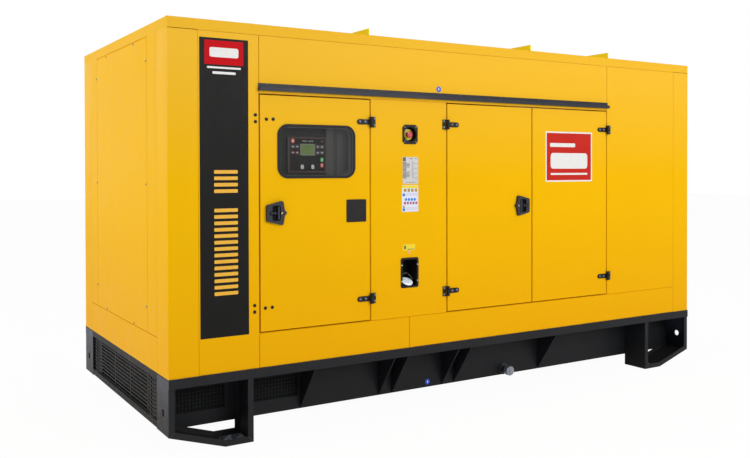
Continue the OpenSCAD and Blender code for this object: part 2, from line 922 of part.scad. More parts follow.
module tank_coupling() {
    color("#b9bcc0")
        translate([s_coupling - long / 2, -wid / 2 + web_y, coupling_z])
            rotate([90, 0, 0])
                rotate_extrude()
                    polygon([[0, 0], [coupling_flange_r, 0], [coupling_flange_r, coupling_flange_t],
                             [coupling_neck_r, coupling_flange_t],
                             [coupling_neck_r, coupling_len - coupling_cap],
                             [coupling_r, coupling_len - coupling_cap],
                             [coupling_r, coupling_len - coupling_cut],
                             [coupling_r - coupling_cut, coupling_len], [0, coupling_len]]);
}

// Canopy ----------------------------------------------------------------------

module corner_post() {
    translate([-long / 2, -wid / 2, skid_h])
        linear_extrude(wall_h)
            polygon([[0, 0], [post_x, 0], [post_x, wall_t], [wall_t, wall_t],
                     [wall_t, post_y], [0, post_y]]);
}

module corner_posts() {
    color("#f2b90f")
        both_sides()
            both_ends()
                corner_post();
}

// Joint lines cut into an end wall, drawn in y and z.
module end_joints() {
    for (y = [post_y, wid - post_y])
        translate([y - half_joint, -1])
            square([joint_w, wall_h + 2]);
    for (y = [end_panel_in, wid - end_panel_in])
        translate([y - half_joint, sill_h])
            square([joint_w, wall_h - sill_h + 1]);
    translate([post_y, sill_h - half_joint])
        square([wid - 2 * post_y, joint_w]);
    translate([end_panel_in, wall_h - end_panel_gap])
        square([wid - 2 * end_panel_in, end_panel_gap + 1]);
}

module end_wall() {
    translate([-long / 2, -wid / 2, skid_h])
        difference() {
            translate([0, post_y, 0])
                cube([wall_t, wid - 2 * post_y, wall_h]);
            slab_x(-1, joint_d)
                end_joints();
        }
}

module end_walls() {
    color("#f0b41a")
        both_ends()
            end_wall();
}

module front_panels() {
    color("#f2b90f") {
        wall_panel(post_x, s_door_a - door_gap / 2, 0, wall_h);
        wall_panel(s_door_e + door_gap / 2, s_right, sill_h, wall_h);
    }
}

module service_panel() {
    color("#f2b90f")
        difference() {
            wall_panel(s_door_b + door_gap / 2, s_door_c - door_gap / 2, sill_h, head_h);
            on_face(s_fill, h_fill)
                slab_y(-1, wall_t + 1)
                    rounded(fill_w - 2 * fill_t, fill_h - 2 * fill_t, fill_r - fill_t);
            on_face(s_stop, h_stop)
                slab_y(-1, wall_t + 1)
                    circle(pocket_r + pocket_t);
        }
}

module front_header() {
    color("#f2b90f")
        wall_panel(s_door_a - door_gap / 2, s_door_e + door_gap / 2, head_h, wall_h);
}

module front_sill() {
    color("#f2b90f") {
        wall_panel(s_door_a - door_gap / 2, s_sill_joint, 0, sill_h);
        wall_panel(s_sill_joint, s_right, 0, sill_h);
    }
}

// Joint lines of the far wall: the door side's lines without the openings.
module back_joints() {
    for (s = [post_x, s_door_a, s_right])
        translate([s - half_joint, -1])
            square([joint_w, wall_h + 2]);
    for (s = [s_door_b, s_door_c, s_door_d])
        translate([s - half_joint, sill_h])
            square([joint_w, head_h - sill_h]);
    translate([s_door_e - half_joint, sill_h])
        square([joint_w, wall_h - sill_h + 1]);
    translate([s_door_a, sill_h - half_joint])
        square([s_right - s_door_a, joint_w]);
    translate([s_door_a, head_h - half_joint])
        square([s_door_e - s_door_a, joint_w]);
}

module back_wall() {
    color("#f2b90f")
        mirror([0, 1, 0])
            difference() {
                on_face(post_x, 0)
                    cube([long - 2 * post_x, wall_t, wall_h]);
                on_face(0, 0)
                    slab_y(-1, joint_d)
                        back_joints();
            }
}

module roof() {
    color("#f2b90f")
        difference() {
            union() {
                translate([-long / 2, -wid / 2, cap_z])
                    cube([long, wid, cap_h]);
                for (s = [s_rib_a, s_rib_b, long - rib_c_in])
                    translate([s - long / 2 - rib_t / 2, -wid / 2, roof_z])
                        cube([rib_t, wid, rib_h]);
            }
            translate([long / 2 - outlet_in, -outlet_w / 2, cap_z - 1])
                cube([outlet_len, outlet_w, cap_h + 2]);
        }
}

module roof_outlet_grille() {
    slot_pitch = (outlet_w - outlet_bar) / (outlet_bars + 1);
    color("#26272a")
        translate([long / 2 - outlet_in, -outlet_w / 2, roof_z - outlet_depth])
            linear_extrude(outlet_depth)
                difference() {
                    square([outlet_len, outlet_w]);
                    for (i = [0 : outlet_bars])
                        translate([outlet_bar, outlet_bar + i * slot_pitch])
                            square([outlet_len - 2 * outlet_bar, slot_pitch - outlet_bar]);
                }
}

module drip_rail() {
    span = s_door_e - s_door_a + 2 * gutter_over;
    on_face(s_door_a - gutter_over, head_h + gutter_up)
        slab_x(0, span)
            polygon([[0, 0], [0, gutter_h], [-gutter_t, gutter_h], [-gutter_t, gutter_t * 2],
                     [-gutter_d + gutter_t, gutter_t * 2], [-gutter_d + gutter_t, gutter_h / 2],
                     [-gutter_d, gutter_h / 2], [-gutter_d, 0]]);
}

module drip_rails() {
    color("#30343c")
        both_sides()
            drip_rail();
}

// Doors -----------------------------------------------------------------------

module door_leaf(s0, s1) {
    on_face(s0, sill_h + door_gap) {
        cube([s1 - s0, tray_d, head_h - sill_h - 2 * door_gap]);
        translate([lining_in, tray_d, lining_in])
            cube([s1 - s0 - 2 * lining_in, door_d - tray_d,
                  head_h - sill_h - 2 * door_gap - 2 * lining_in]);
    }
}

// Frame leaf with its two knuckles and the fixed pin; out is +1 when the frame is to the right.
module hinge_leaf(s, h, out) {
    on_face(s, h)
        scale([out, 1, 1]) {
            translate([leaf_in, -leaf_t, -leaf_h / 2])
                cube([leaf_w - leaf_in, leaf_t, leaf_h]);
            for (z = [-leaf_h / 2, leaf_h / 2 - arm_h])
                translate([0, -hinge_out, z]) {
                    cylinder(r = knuckle_r, h = arm_h);
                    cube([leaf_in + leaf_t, hinge_out - leaf_t / 2, arm_h]);
                }
            translate([0, -hinge_out, -pin_len / 2])
                cylinder(r = pin_r, h = pin_len);
        }
}

// Door strap with a rounded end and the middle knuckle.
module hinge_strap(s, h, out) {
    on_face(s, h)
        scale([out, 1, 1])
            difference() {
                union() {
                    translate([strap_h / 2 - strap_w, -leaf_t, -strap_h / 2])
                        cube([strap_w - (strap_h + knuckle_r) / 2, leaf_t, strap_h]);
                    slab_y(-leaf_t, 0)
                        translate([strap_h / 2 - strap_w, 0])
                            circle(strap_h / 2);
                    translate([-leaf_in, -hinge_out, -strap_h / 2])
                        cube([leaf_in, hinge_out - leaf_t / 2, strap_h]);
                    translate([0, -hinge_out, -strap_h / 2])
                        cylinder(r = knuckle_r, h = strap_h);
                }
                translate([0, -hinge_out, -strap_h])
                    cylinder(r = pin_r + pin_play, h = 2 * strap_h);
            }
}

module hinge_leaves() {
    color("#1b1c1e")
        for (h = hinge_hs) {
            hinge_leaf(s_door_b, h, 1);
            hinge_leaf(s_door_c, h, -1);
            hinge_leaf(s_door_e, h, 1);
        }
}

// Latch dish with its short side at x = 0 and its nose towards +x.
module dish_outline() {
    bulge = dish_w + dish_bulge;
    polygon(soft([[0, -dish_h1 / 2], [dish_w, -dish_h2 / 2], [bulge, -dish_nose_h / 2],
                  [bulge + dish_nose, 0], [bulge, dish_nose_h / 2], [dish_w, dish_h2 / 2],
                  [0, dish_h1 / 2]], dish_r));
}

// Finger recess round the grip bar, with a round pocket for the hub.
module recess_outline() {
    x1 = pivot_x + lever_len + lever_gap;
    translate([(recess_in + x1) / 2, 0])
        rounded(x1 - recess_in, grip_h + 2 * lever_gap, recess_r);
    translate([pivot_x, 0])
        circle(stem_h / 2 + lever_gap);
}

module latch_dish() {
    difference() {
        slab_y(-dish_out, 0)
            dish_outline();
        slab_y(-dish_out - 1, recess_d - dish_out)
            recess_outline();
    }
    translate([pivot_x, lever_t / 2 - dish_out, -stem_h / 2 - 2 * lever_gap])
        cylinder(r = pivot_r, h = stem_h + 4 * lever_gap);
    slab_y(-dish_out - barrel_out, -dish_out / 2)
        translate([dish_w - barrel_in, 0])
            circle(barrel_r);
}

module latch_lever() {
    translate([pivot_x, lever_t / 2 - dish_out, 0])
        difference() {
            union() {
                cylinder(r = hub_r, h = stem_h, center = true);
                translate([0, -lever_t / 2, -stem_h / 2])
                    cube([lever_len - grip_w / 2, lever_t, stem_h]);
                slab_y(-lever_t / 2, lever_t / 2)
                    translate([lever_len - grip_w / 2, 0])
                        rounded(grip_w, grip_h, grip_r);
            }
            cylinder(r = pivot_r + pin_play, h = 2 * stem_h, center = true);
        }
}

module at_latch_1() {
    on_face(s_door_a + latch_in, h_latch)
        children();
}

module at_latch_2() {
    on_face(s_door_d - latch_in, h_latch)
        mirror([1, 0, 0])
            children();
}

module latch_1_dish() {
    color("#232427")
        at_latch_1()
            latch_dish();
}

module latch_2_dish() {
    color("#232427")
        at_latch_2()
            latch_dish();
}

module latch_1_lever() {
    color("#1b1c1e")
        at_latch_1()
            latch_lever();
}

module latch_2_lever() {
    color("#1b1c1e")
        at_latch_2()
            latch_lever();
}

// Hinge of the far side, its leaf, strap and knuckles in one piece.
module fixed_hinge(s, h, out) {
    on_face(s, h)
        scale([out, 1, 1]) {
            translate([-strap_w, -leaf_t, -strap_h / 2])
                cube([strap_w, leaf_t, strap_h]);
            translate([0, -leaf_t, -leaf_h / 2])
                cube([leaf_w, leaf_t, leaf_h]);
            translate([0, -hinge_out, -leaf_h / 2])
                cylinder(r = knuckle_r, h = leaf_h);
        }
}

module back_fittings() {
    color("#1b1c1e")
        mirror([0, 1, 0]) {
            for (h = hinge_hs) {
                fixed_hinge(s_door_b, h, 1);
                fixed_hinge(s_door_c, h, -1);
                fixed_hinge(s_door_e, h, 1);
            }
            at_latch_1() {
                latch_dish();
                latch_lever();
            }
            at_latch_2() {
                latch_dish();
                latch_lever();
            }
        }
}

module door_1_leaf() {
    color("#f2b90f")
        difference() {
            door_leaf(s_door_a + door_gap / 2, s_door_b - door_gap / 2);
            on_face(s_win, h_win)
                slab_y(-1, door_d + 1)
                    rounded(win_w - gasket_w, win_h - gasket_w, win_r - gasket_w / 2);
        }
}

module door_1_straps() {
    color("#1b1c1e")
        for (h = hinge_hs)
            hinge_strap(s_door_b, h, 1);
}

module door_1_cover() {
    color("#232427")
        on_face(s_door_b - cover_in, h_latch)
            slab_y(-cover_t, 0)
                rounded(cover_w, cover_w, cover_r);
}

module window_gasket() {
    color("#141414")
        on_face(s_win, h_win)
            difference() {
                union() {
                    slab_y(-gasket_out, 0)
                        rounded(win_w, win_h, win_r);
                    slab_y(0, tray_d)
                        rounded(win_w - gasket_w, win_h - gasket_w, win_r - gasket_w / 2);
                }
                slab_y(-gasket_out - 1, tray_d + 1)
                    rounded(win_w - 2 * gasket_w, win_h - 2 * gasket_w, win_r - gasket_w);
            }
}

module window_glass() {
    color("#20262b", 0.5)
        on_face(s_win, h_win)
            slab_y(glass_t, 2 * glass_t)
                rounded(win_w - 2 * gasket_w, win_h - 2 * gasket_w, win_r - gasket_w);
}

module door_2_leaf() {
    color("#f2b90f")
        door_leaf(s_door_c + door_gap / 2, s_door_d - meet_gap / 2);
}

module door_2_straps() {
    color("#1b1c1e")
        for (h = hinge_hs)
            hinge_strap(s_door_c, h, -1);
}

module door_3_leaf() {
    color("#f2b90f")
        door_leaf(s_door_d + meet_gap / 2, s_door_e - door_gap / 2);
}

module door_3_straps() {
    color("#1b1c1e")
        for (h = hinge_hs)
            hinge_strap(s_door_e, h, 1);
}

// Service panel fittings --------------------------------------------------------

// Rectangle with its four corners cut off.
module cut_rectangle(w, h, c) {
    polygon([[c - w / 2, -h / 2], [w / 2 - c, -h / 2], [w / 2, c - h / 2], [w / 2, h / 2 - c],
             [w / 2 - c, h / 2], [c - w / 2, h / 2], [-w / 2, h / 2 - c], [-w / 2, c - h / 2]]);
}

module stop_housing() {
    color("#232427")
        on_face(s_stop, h_stop)
            difference() {
                union() {
                    slab_y(-stop_out, 0)
                        cut_rectangle(stop_w, stop_h, stop_cut);
                    slab_y(0, pocket_d + pocket_t)
                        circle(pocket_r + pocket_t);
                }
                difference() {
                    slab_y(-stop_out - 1, pocket_d)
                        circle(pocket_r);
                    slab_y(pocket_d - disc_t, pocket_d + 1)
                        circle(disc_r);
                }
                slab_y(0, pocket_d + pocket_t + 1)
                    circle(stem_r + stem_play);
            }
}

module stop_button() {
    color("#c3202b")
        on_face(s_stop, h_stop) {
            rotate([90, 0, 0])
                translate([0, 0, mush_out])
                    rotate_extrude()
                        polygon([[0, -mush_t], [mush_r - mush_cut, -mush_t],
                                 [mush_r, mush_cut - mush_t], [mush_r, -mush_dome],
                                 [mush_r - mush_dome, 0], [0, 0]]);
            slab_y(mush_t - mush_out - mush_cut, pocket_d + pocket_t)
                circle(stem_r);
        }
}

module filler_recess() {
    color("#1b1c1e")
        on_face(s_fill, h_fill)
            difference() {
                union() {
                    slab_y(-fill_t, 0)
                        rounded(fill_w, fill_h, fill_r);
                    slab_y(0, fill_d)
                        rounded(fill_w - 2 * fill_t, fill_h - 2 * fill_t, fill_r - fill_t);
                }
                slab_y(-fill_t - 1, 1)
                    rounded(fill_w - 2 * fill_rim, fill_h - 2 * fill_rim, fill_r - fill_t);
                slab_y(0, fill_d - fill_t)
                    rounded(fill_w - 4 * fill_t, fill_h - 4 * fill_t, fill_r - 2 * fill_t);
            }
    color("#1b1c1e")
        intersection() {
            at_filler_cap()
                translate([0, 0, -neck_len])
                    cylinder(r = neck_r, h = neck_len - cap_t / 2);
            on_face(s_fill, h_fill)
                slab_y(0, fill_d)
                    square([fill_w, fill_h - 3 * fill_t], center = true);
        }
}

// Local frame of the filler cap, z along the tilted neck.
module at_filler_cap() {
    on_face(s_fill, h_cap)
        translate([0, cap_in, 0])
            rotate([90 - neck_tilt, 0, 0])
                children();
}

module filler_cap() {
    color("#c9ccd0")
        at_filler_cap()
            rotate_extrude()
                polygon([[0, -cap_t / 2], [cap_r, -cap_t / 2], [cap_r, cap_t / 2 - cap_cut],
                         [cap_r - cap_cut, cap_t / 2], [0, cap_t / 2]]);
}

module control_cabinet() {
    color("#2a2c30")
        on_face(s_cab, cab_up)
            translate([0, cab_in, 0]) {
                cube([cab_w, cab_d, cab_h]);
                for (x = [0, cab_w - cab_leg])
                    translate([x, 0, -cab_up])
                        cube([cab_leg, cab_leg, cab_up]);
            }
}

module controller() {
    color("#3a3d42")
        on_face(s_ctrl, h_ctrl)
            slab_y(cab_in - ctrl_t, cab_in)
                translate([ctrl_w / 2, ctrl_h / 2])
                    rounded(ctrl_w, ctrl_h, ctrl_r);
}

// Power unit ----------------------------------------------------------------------

module unit_rails() {
    color("#2c2d31")
        for (y = [-1, 1])
            translate([s_alt - long / 2, y * rail_off - rail_w / 2, flange_z])
                cube([s_rad + rad_t - s_alt, rail_w, unit_z - flange_z]);
}

// Round bar or disc along x, from x0 to x1.
module round_x(r, x0, x1) {
    translate([x0, 0, 0])
        rotate([0, 90, 0])
            cylinder(r = r, h = x1 - x0);
}

module engine() {
    color("#8a8d91")
        translate([s_block - long / 2, 0, shaft_z]) {
            translate([0, -block_w / 2, -block_dn])
                cube([block_len, block_w, block_dn + block_up]);
            translate([sump_in, -sump_w / 2, -sump_dn])
                cube([block_len - 2 * sump_in, sump_w, sump_dn]);
            for (i = [0 : heads - 1])
                translate([head_in + i * (head_len + head_gap), -head_w / 2, 0])
                    cube([head_len, head_w, block_up + head_up]);
            round_x(bell_r, -bell_len, sump_in);
            round_x(hub_fan_r, block_len - sump_in, block_len + rad_clear - hub_gap);
            translate([0, block_w / 2, manifold_up])
                round_x(manifold_r, head_in, block_len - head_in);
        }
}

module alternator() {
    box_in = 2 * alt_taper;
    color("#6f7377")
        translate([s_alt - long / 2, 0, shaft_z]) {
            rotate([0, 90, 0])
                rotate_extrude()
                    polygon([[0, 0], [alt_bell_r, 0], [alt_r, alt_taper],
                             [alt_r, alt_len - alt_neck - alt_taper],
                             [alt_bell_r, alt_len - alt_neck],
                             [alt_bell_r, alt_len], [0, alt_len]]);
            translate([box_in, -term_w / 2, 0])
                cube([term_len, term_w, term_up]);
            for (y = [-1, 1])
                translate([box_in, y * rail_off - rail_w / 2, unit_z - shaft_z])
                    cube([alt_foot, rail_w, shaft_z - unit_z]);
        }
}

module radiator() {
    color("#2f3134")
        translate([s_rad - long / 2, 0, unit_z]) {
            difference() {
                translate([0, -rad_w / 2, 0])
                    cube([rad_t, rad_w, rad_h]);
                translate([0, 0, shaft_z - unit_z])
                    round_x(fan_r - 2 * ring_t, -1, rad_pocket);
            }
            translate([0, 0, shaft_z - unit_z])
                rotate([0, -90, 0])
                    rotate_extrude()
                        translate([fan_r - ring_t, 0])
                            square([ring_t, ring_len]);
        }
}

module silencer() {
    color("#9b9a96")
        translate([s_sil - long / 2, 0, sil_z]) {
            rotate([90, 0, 0])
                cylinder(r = sil_r, h = sil_len, center = true);
            round_x(pipe_r, -pipe_run, 0);
            translate([-pipe_run, 0, engine_top - sil_z])
                cylinder(r = pipe_r, h = sil_z - engine_top);
            translate([-pipe_run, 0, 0])
                sphere(r = pipe_r);
        }
}

module air_filter() {
    color("#1f2022")
        translate([s_block + filter_in - long / 2, -filter_off, engine_top + filter_r])
            rotate([0, 90, 0])
                rotate_extrude()
                    polygon([[0, 0], [filter_neck_r, 0], [filter_r, filter_r - filter_neck_r],
                             [filter_r, filter_len - filter_cut],
                             [filter_r - filter_cut, filter_len], [0, filter_len]]);
}

skid_top_rails();
skid_webs();
skid_gussets();
foot_end_plates();
foot_soles();
foot_frames();
skid_end_louvres();
intake_meshes();
cross_beams();
base_tank();
tank_coupling();
corner_posts();
end_walls();
front_panels();
service_panel();
front_header();
front_sill();
back_wall();
roof();
roof_outlet_grille();
drip_rails();
hinge_leaves();
back_fittings();
stop_housing();
stop_button();
filler_recess();
filler_cap();
control_cabinet();
controller();
unit_rails();
engine();
alternator();
radiator();
silencer();
air_filter();
door_1_leaf();
door_1_straps();
door_1_cover();
window_gasket();
window_glass();
latch_1_dish();
latch_1_lever();
door_2_leaf();
door_2_straps();
latch_2_dish();
latch_2_lever();
door_3_leaf();
door_3_straps();
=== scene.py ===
import json
import math

import bmesh
import bpy
from mathutils import Matrix, Vector

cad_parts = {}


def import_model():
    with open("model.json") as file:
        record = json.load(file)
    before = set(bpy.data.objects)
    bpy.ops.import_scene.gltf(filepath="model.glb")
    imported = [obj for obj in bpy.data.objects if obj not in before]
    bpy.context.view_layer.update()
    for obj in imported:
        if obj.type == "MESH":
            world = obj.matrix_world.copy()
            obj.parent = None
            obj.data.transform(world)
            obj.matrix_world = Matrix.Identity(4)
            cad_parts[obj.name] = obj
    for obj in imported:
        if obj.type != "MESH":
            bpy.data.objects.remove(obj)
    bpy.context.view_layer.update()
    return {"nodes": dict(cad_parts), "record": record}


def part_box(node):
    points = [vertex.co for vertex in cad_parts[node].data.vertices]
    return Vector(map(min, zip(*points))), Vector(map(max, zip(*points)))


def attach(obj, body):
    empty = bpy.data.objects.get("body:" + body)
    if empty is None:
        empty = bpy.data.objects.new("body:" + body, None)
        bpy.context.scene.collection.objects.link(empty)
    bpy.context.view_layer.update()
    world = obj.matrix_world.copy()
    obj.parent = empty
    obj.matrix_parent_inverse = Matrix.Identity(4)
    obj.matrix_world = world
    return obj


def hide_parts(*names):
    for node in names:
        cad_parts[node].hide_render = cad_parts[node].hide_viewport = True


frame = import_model()

# ---- Datum planes of the canopy, all in metres

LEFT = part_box("corner_posts")[0].x
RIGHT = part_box("corner_posts")[1].x
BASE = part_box("corner_posts")[0].z
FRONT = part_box("corner_posts")[0].y
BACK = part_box("corner_posts")[1].y
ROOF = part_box("corner_posts")[1].z


def face_place(x, z, y, sign=-1):
    """Local x along the face, local y up and local z outwards, on a long side."""
    return Matrix(((-sign, 0, 0, x), (0, 0, sign, y), (0, 1, 0, z), (0, 0, 0, 1)))


def mid_place(low, high, y):
    """A place facing the door side on plane y, in line with the middle of a box."""
    return face_place((low.x + high.x) / 2, (low.z + high.z) / 2, y)


def on_front(s, h, out=0.0):
    """A place on the door side, s from the left end and h above the canopy's lower edge."""
    return face_place(LEFT + s, BASE + h, FRONT - out)


def on_node(node):
    """A place at the middle of a node's door-side face."""
    low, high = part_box(node)
    return mid_place(low, high, low.y)


def on_end(d, h, sign=-1):
    """A place on an end wall, d from the door side."""
    x = LEFT if sign < 0 else RIGHT
    return Matrix(((0, 0, sign, x), (sign, 0, 0, FRONT + d), (0, 1, 0, BASE + h), (0, 0, 0, 1)))


# ---- Materials

MARK_SOFT = 0.08            # how softly a scattered mark fades at its edge
SMEARS_PER_PATCH = 7        # the roughness varies this much finer than the colour
SMEAR_DOWN, SMEAR_UP = 0.05, 0.07
RELIEF = 0.0006             # height of the fine bump


def link(tree, a, b):
    """Joins an output socket to an input socket."""
    tree.links.new(a, b)


def fill(node, values):
    """Sets a shader node's input sockets."""
    for socket, value in values.items():
        node.inputs[socket].default_value = value


def new_node(tree, kind, values):
    """A new shader node with values in its sockets."""
    node = tree.nodes.new("ShaderNode" + kind)
    fill(node, values)
    return node


def new_material(name):
    """An empty material, its node tree and its shader."""
    mat = bpy.data.materials.new(name)
    mat.use_nodes = True
    return mat, mat.node_tree, mat.node_tree.nodes["Principled BSDF"]


def noise(tree, coords, scale, detail=3.0, rough=0.55):
    """A cloudy factor between 0 and 1."""
    node = new_node(tree, "TexNoise", {"Scale": scale, "Detail": detail, "Roughness": rough})
    link(tree, coords, node.inputs["Vector"])
    return node.outputs["Fac"]


def spread(tree, value, low, high, start=0.3, stop=0.7):
    """Runs from low to high while a value runs from start to stop."""
    node = new_node(tree, "MapRange", {"From Min": start, "From Max": stop, "To Min": low,
                                       "To Max": high})
    link(tree, value, node.inputs["Value"])
    return node.outputs["Result"]


def blend_colour(tree, factor, a, b):
    """Colour a turning to colour b as the factor rises, each a triple or a socket."""
    node = tree.nodes.new("ShaderNodeMix")
    node.data_type = "RGBA"
    link(tree, factor, node.inputs["Factor"])
    for socket, value in ((node.inputs[6], a), (node.inputs[7], b)):
        if isinstance(value, (tuple, list)):
            socket.default_value = (*value, 1.0)
        else:
            link(tree, value, socket)
    return node.outputs[2]


def by_height(tree, coords, low, high, start, stop):
    """A factor that runs from low to high between two heights above the floor."""
    axis = tree.nodes.new("ShaderNodeSeparateXYZ")
    link(tree, coords, axis.inputs[0])
    return spread(tree, axis.outputs["Z"], low, high, start, stop)


def surface(name, base, tint, rough, patch, grain, bump, gloss=0.5, metal=0.0, coat=0.0,
            mark=None, mark_scale=30, mark_edge=0.62, low_dust_and_shade=None, low_range=(0, 1),
            high_tint=None, high_from=1.0, high_fade=0.002, glow=0.0, alpha=1.0):
    """A worked surface: base mottled with tint in patches, uneven roughness, a fine bump of the given
    grain, scattered marks, a low colour (dust on skid paints, painted shade on others) and a painted
    highlight high up."""
    mat, tree, shader = new_material(name)
    coords = tree.nodes.new("ShaderNodeTexCoord").outputs["Object"]
    mottle = noise(tree, coords, patch)
    colour = blend_colour(tree, spread(tree, mottle, 0.0, 1.0), base, tint)
    # Low down: dust on the skid and web paints, painted shade on the canopy and the foot end plates.
    if low_dust_and_shade:
        below = by_height(tree, coords, 1.0, 0.0, *low_range)
        colour = blend_colour(tree, below, colour, low_dust_and_shade)
    # High up: a painted highlight, lighter where light falls from above.
    if high_tint:
        above = by_height(tree, coords, 0.0, 1.0, high_from, high_from + high_fade)
        colour = blend_colour(tree, above, colour, high_tint)
    if mark:
        spots = spread(tree, noise(tree, coords, mark_scale, 6.0, 0.7), 0.0, 1.0,
                       mark_edge, mark_edge + MARK_SOFT)
        colour = blend_colour(tree, spots, colour, mark)
    link(tree, colour, shader.inputs["Base Color"])
    if glow:
        link(tree, colour, shader.inputs["Emission Color"])
        shader.inputs["Emission Strength"].default_value = glow
    smear = noise(tree, coords, patch * SMEARS_PER_PATCH, 5.0)
    link(tree, spread(tree, smear, rough - SMEAR_DOWN, rough + SMEAR_UP),
         shader.inputs["Roughness"])
    fill(shader, {"Metallic": metal, "Specular IOR Level": gloss, "Coat Weight": coat,
                  "Alpha": alpha})
    relief = new_node(tree, "Bump", {"Strength": bump, "Distance": RELIEF})
    link(tree, noise(tree, coords, grain, 2.0), relief.inputs["Height"])
    link(tree, relief.outputs["Normal"], shader.inputs["Normal"])
    return mat


def ink(name, base, tint, rough, patch, **more):
    """A smooth printed colour."""
    return surface(name, base, tint, rough, patch, 600, 0.03, **more)


def canopy_paint_painted_light(name, **more):
    """The canopy's paint, darker and more orange towards the floor: painted shade and warm bounce light.
    """
    return surface(name, (0.88, 0.48, 0.001), (0.86, 0.465, 0.001), 0.36, 1.3, 420, 0.1,
                   gloss=0.03, low_dust_and_shade=(0.83, 0.415, 0.002), low_range=(0.42, 1.2), **more)


# Long sides and doors: the high tint is a painted highlight, a lighter and greyer yellow towards the top
# where the light falls.
YELLOW = canopy_paint_painted_light("canopy_paint_painted_light", high_tint=(0.885, 0.5, 0.032), high_from=1.4, high_fade=0.72)
# End walls: the same paint with only its painted shade towards the floor.
END_YELLOW = canopy_paint_painted_light("end_paint_painted_shade")
# Roof: the pale lemon high tint above ROOF + 0.058, on the roof ribs, is a painted highlight standing in
# for the light on their lit faces.
ROOF_YELLOW_LIT_RIBS = surface(
    "roof_paint_lit_ribs", (0.87, 0.495, 0.034), (0.85, 0.48, 0.03), 0.38, 1.3, 420, 0.1, gloss=0.01,
    high_tint=(0.95, 0.76, 0.022), high_from=ROOF + 0.058)
BLACK = surface(
    "skid_paint", (0.01, 0.011, 0.0135), (0.0135, 0.0148, 0.018), 0.44, 3, 300, 0.16, gloss=0.18,
    mark=(0.045, 0.044, 0.043), mark_scale=55, mark_edge=0.72, low_dust_and_shade=(0.016, 0.016, 0.016),
    low_range=(0, 0.2))
# Foot end plates: the light bluish base is a painted sheen of reflected light, and the darker low tint
# under 0.17 to 0.37 m is painted shade below it.
END_PLATE_SHEEN = surface(
    "end_plate_painted_sheen", (0.043, 0.05, 0.074), (0.05, 0.057, 0.083), 0.34, 2.5, 260, 0.18, gloss=0.18,
    mark=(0.05, 0.05, 0.052), mark_scale=48, mark_edge=0.72, low_dust_and_shade=(0.009, 0.011, 0.017),
    low_range=(0.17, 0.37))
# A painted highlight: a light bluish line along the top edge of the skid rails.
LEDGE_HIGHLIGHT = surface(
    "ledge_painted_highlight", (0.06, 0.066, 0.115), (0.075, 0.082, 0.135), 0.36, 3, 300, 0.15, gloss=0.25)
WELD = surface("weld_paint", (0.04, 0.044, 0.058), (0.056, 0.06, 0.076), 0.35, 60, 500, 0.3, gloss=0.3)
STUB = surface("stub_steel", (0.02, 0.021, 0.026), (0.034, 0.036, 0.042), 0.38, 50, 400, 0.2, metal=0.3)
WORN = surface(
    "worn_paint", (0.03, 0.035, 0.043), (0.044, 0.05, 0.06), 0.44, 9, 300, 0.2, gloss=0.2,
    mark=(0.42, 0.46, 0.54), mark_scale=42, mark_edge=0.47)
MESH_WIRE = surface(
    "mesh_wire", (0.016, 0.0175, 0.019), (0.022, 0.0235, 0.025), 0.45, 8, 500, 0.1, gloss=0.2)
# Painted shade: a dark sheet close behind the intake meshes, standing in for the shaded inside of the
# skid.
MESH_SHADE = surface(
    "mesh_painted_shade", (0.0115, 0.0122, 0.0128), (0.014, 0.0148, 0.0153), 0.8, 6, 200, 0.2, gloss=0.05)
LOUVRE = surface(
    "louvre_paint", (0.0062, 0.0066, 0.0078), (0.009, 0.0095, 0.011), 0.44, 3, 300, 0.16, gloss=0.14)
WEB = surface(
    "web_paint", (0.0085, 0.0096, 0.0118), (0.0115, 0.0128, 0.0155), 0.44, 3, 300, 0.16, gloss=0.16,
    low_dust_and_shade=(0.014, 0.0145, 0.016), low_range=(0, 0.2))
LATCH = surface(
    "latch_body", (0.024, 0.027, 0.036), (0.03, 0.032, 0.04), 0.42, 20, 900, 0.18, gloss=0.22)
# Painted shade: the dark sheet in a latch's finger pocket and along its lever's stem.
POCKET_SHADE = surface(
    "latch_pocket", (0.0035, 0.0035, 0.0038), (0.006, 0.006, 0.0065), 0.6, 20, 900, 0.15, gloss=0.1)
FITTING = surface(
    "moulded_black", (0.0075, 0.006, 0.0062), (0.011, 0.009, 0.0095), 0.42, 9, 900, 0.2, gloss=0.2)
RAIL = surface(
    "drip_rail_paint", (0.027, 0.029, 0.038), (0.036, 0.038, 0.049), 0.38, 4, 350, 0.1, gloss=0.16)
RIVET = surface("rivet_grey", (0.045, 0.05, 0.062), (0.07, 0.076, 0.09), 0.36, 60, 900, 0.1, metal=0.4)
BOLT = surface("bolt_zinc", (0.17, 0.195, 0.235), (0.11, 0.128, 0.155), 0.4, 90, 900, 0.1, metal=0.75)
PLUG = surface("plug_zinc", (0.38, 0.42, 0.5), (0.26, 0.29, 0.35), 0.34, 90, 900, 0.1, metal=0.75)
RUBBER = surface(
    "gasket_rubber", (0.004, 0.004, 0.007), (0.007, 0.007, 0.011), 0.5, 12, 700, 0.2, gloss=0.22)
ZINC = surface("zinc_plate", (0.55, 0.6, 0.68), (0.42, 0.47, 0.56), 0.3, 90, 900, 0.1, metal=0.9)
CHROME = surface("polished_metal", (0.8, 0.82, 0.85), (0.66, 0.69, 0.74), 0.16, 25, 500, 0.06, metal=1)
RED = surface(
    "button_red", (0.58, 0.016, 0.03), (0.48, 0.01, 0.02), 0.26, 30, 800, 0.05, coat=0.3)
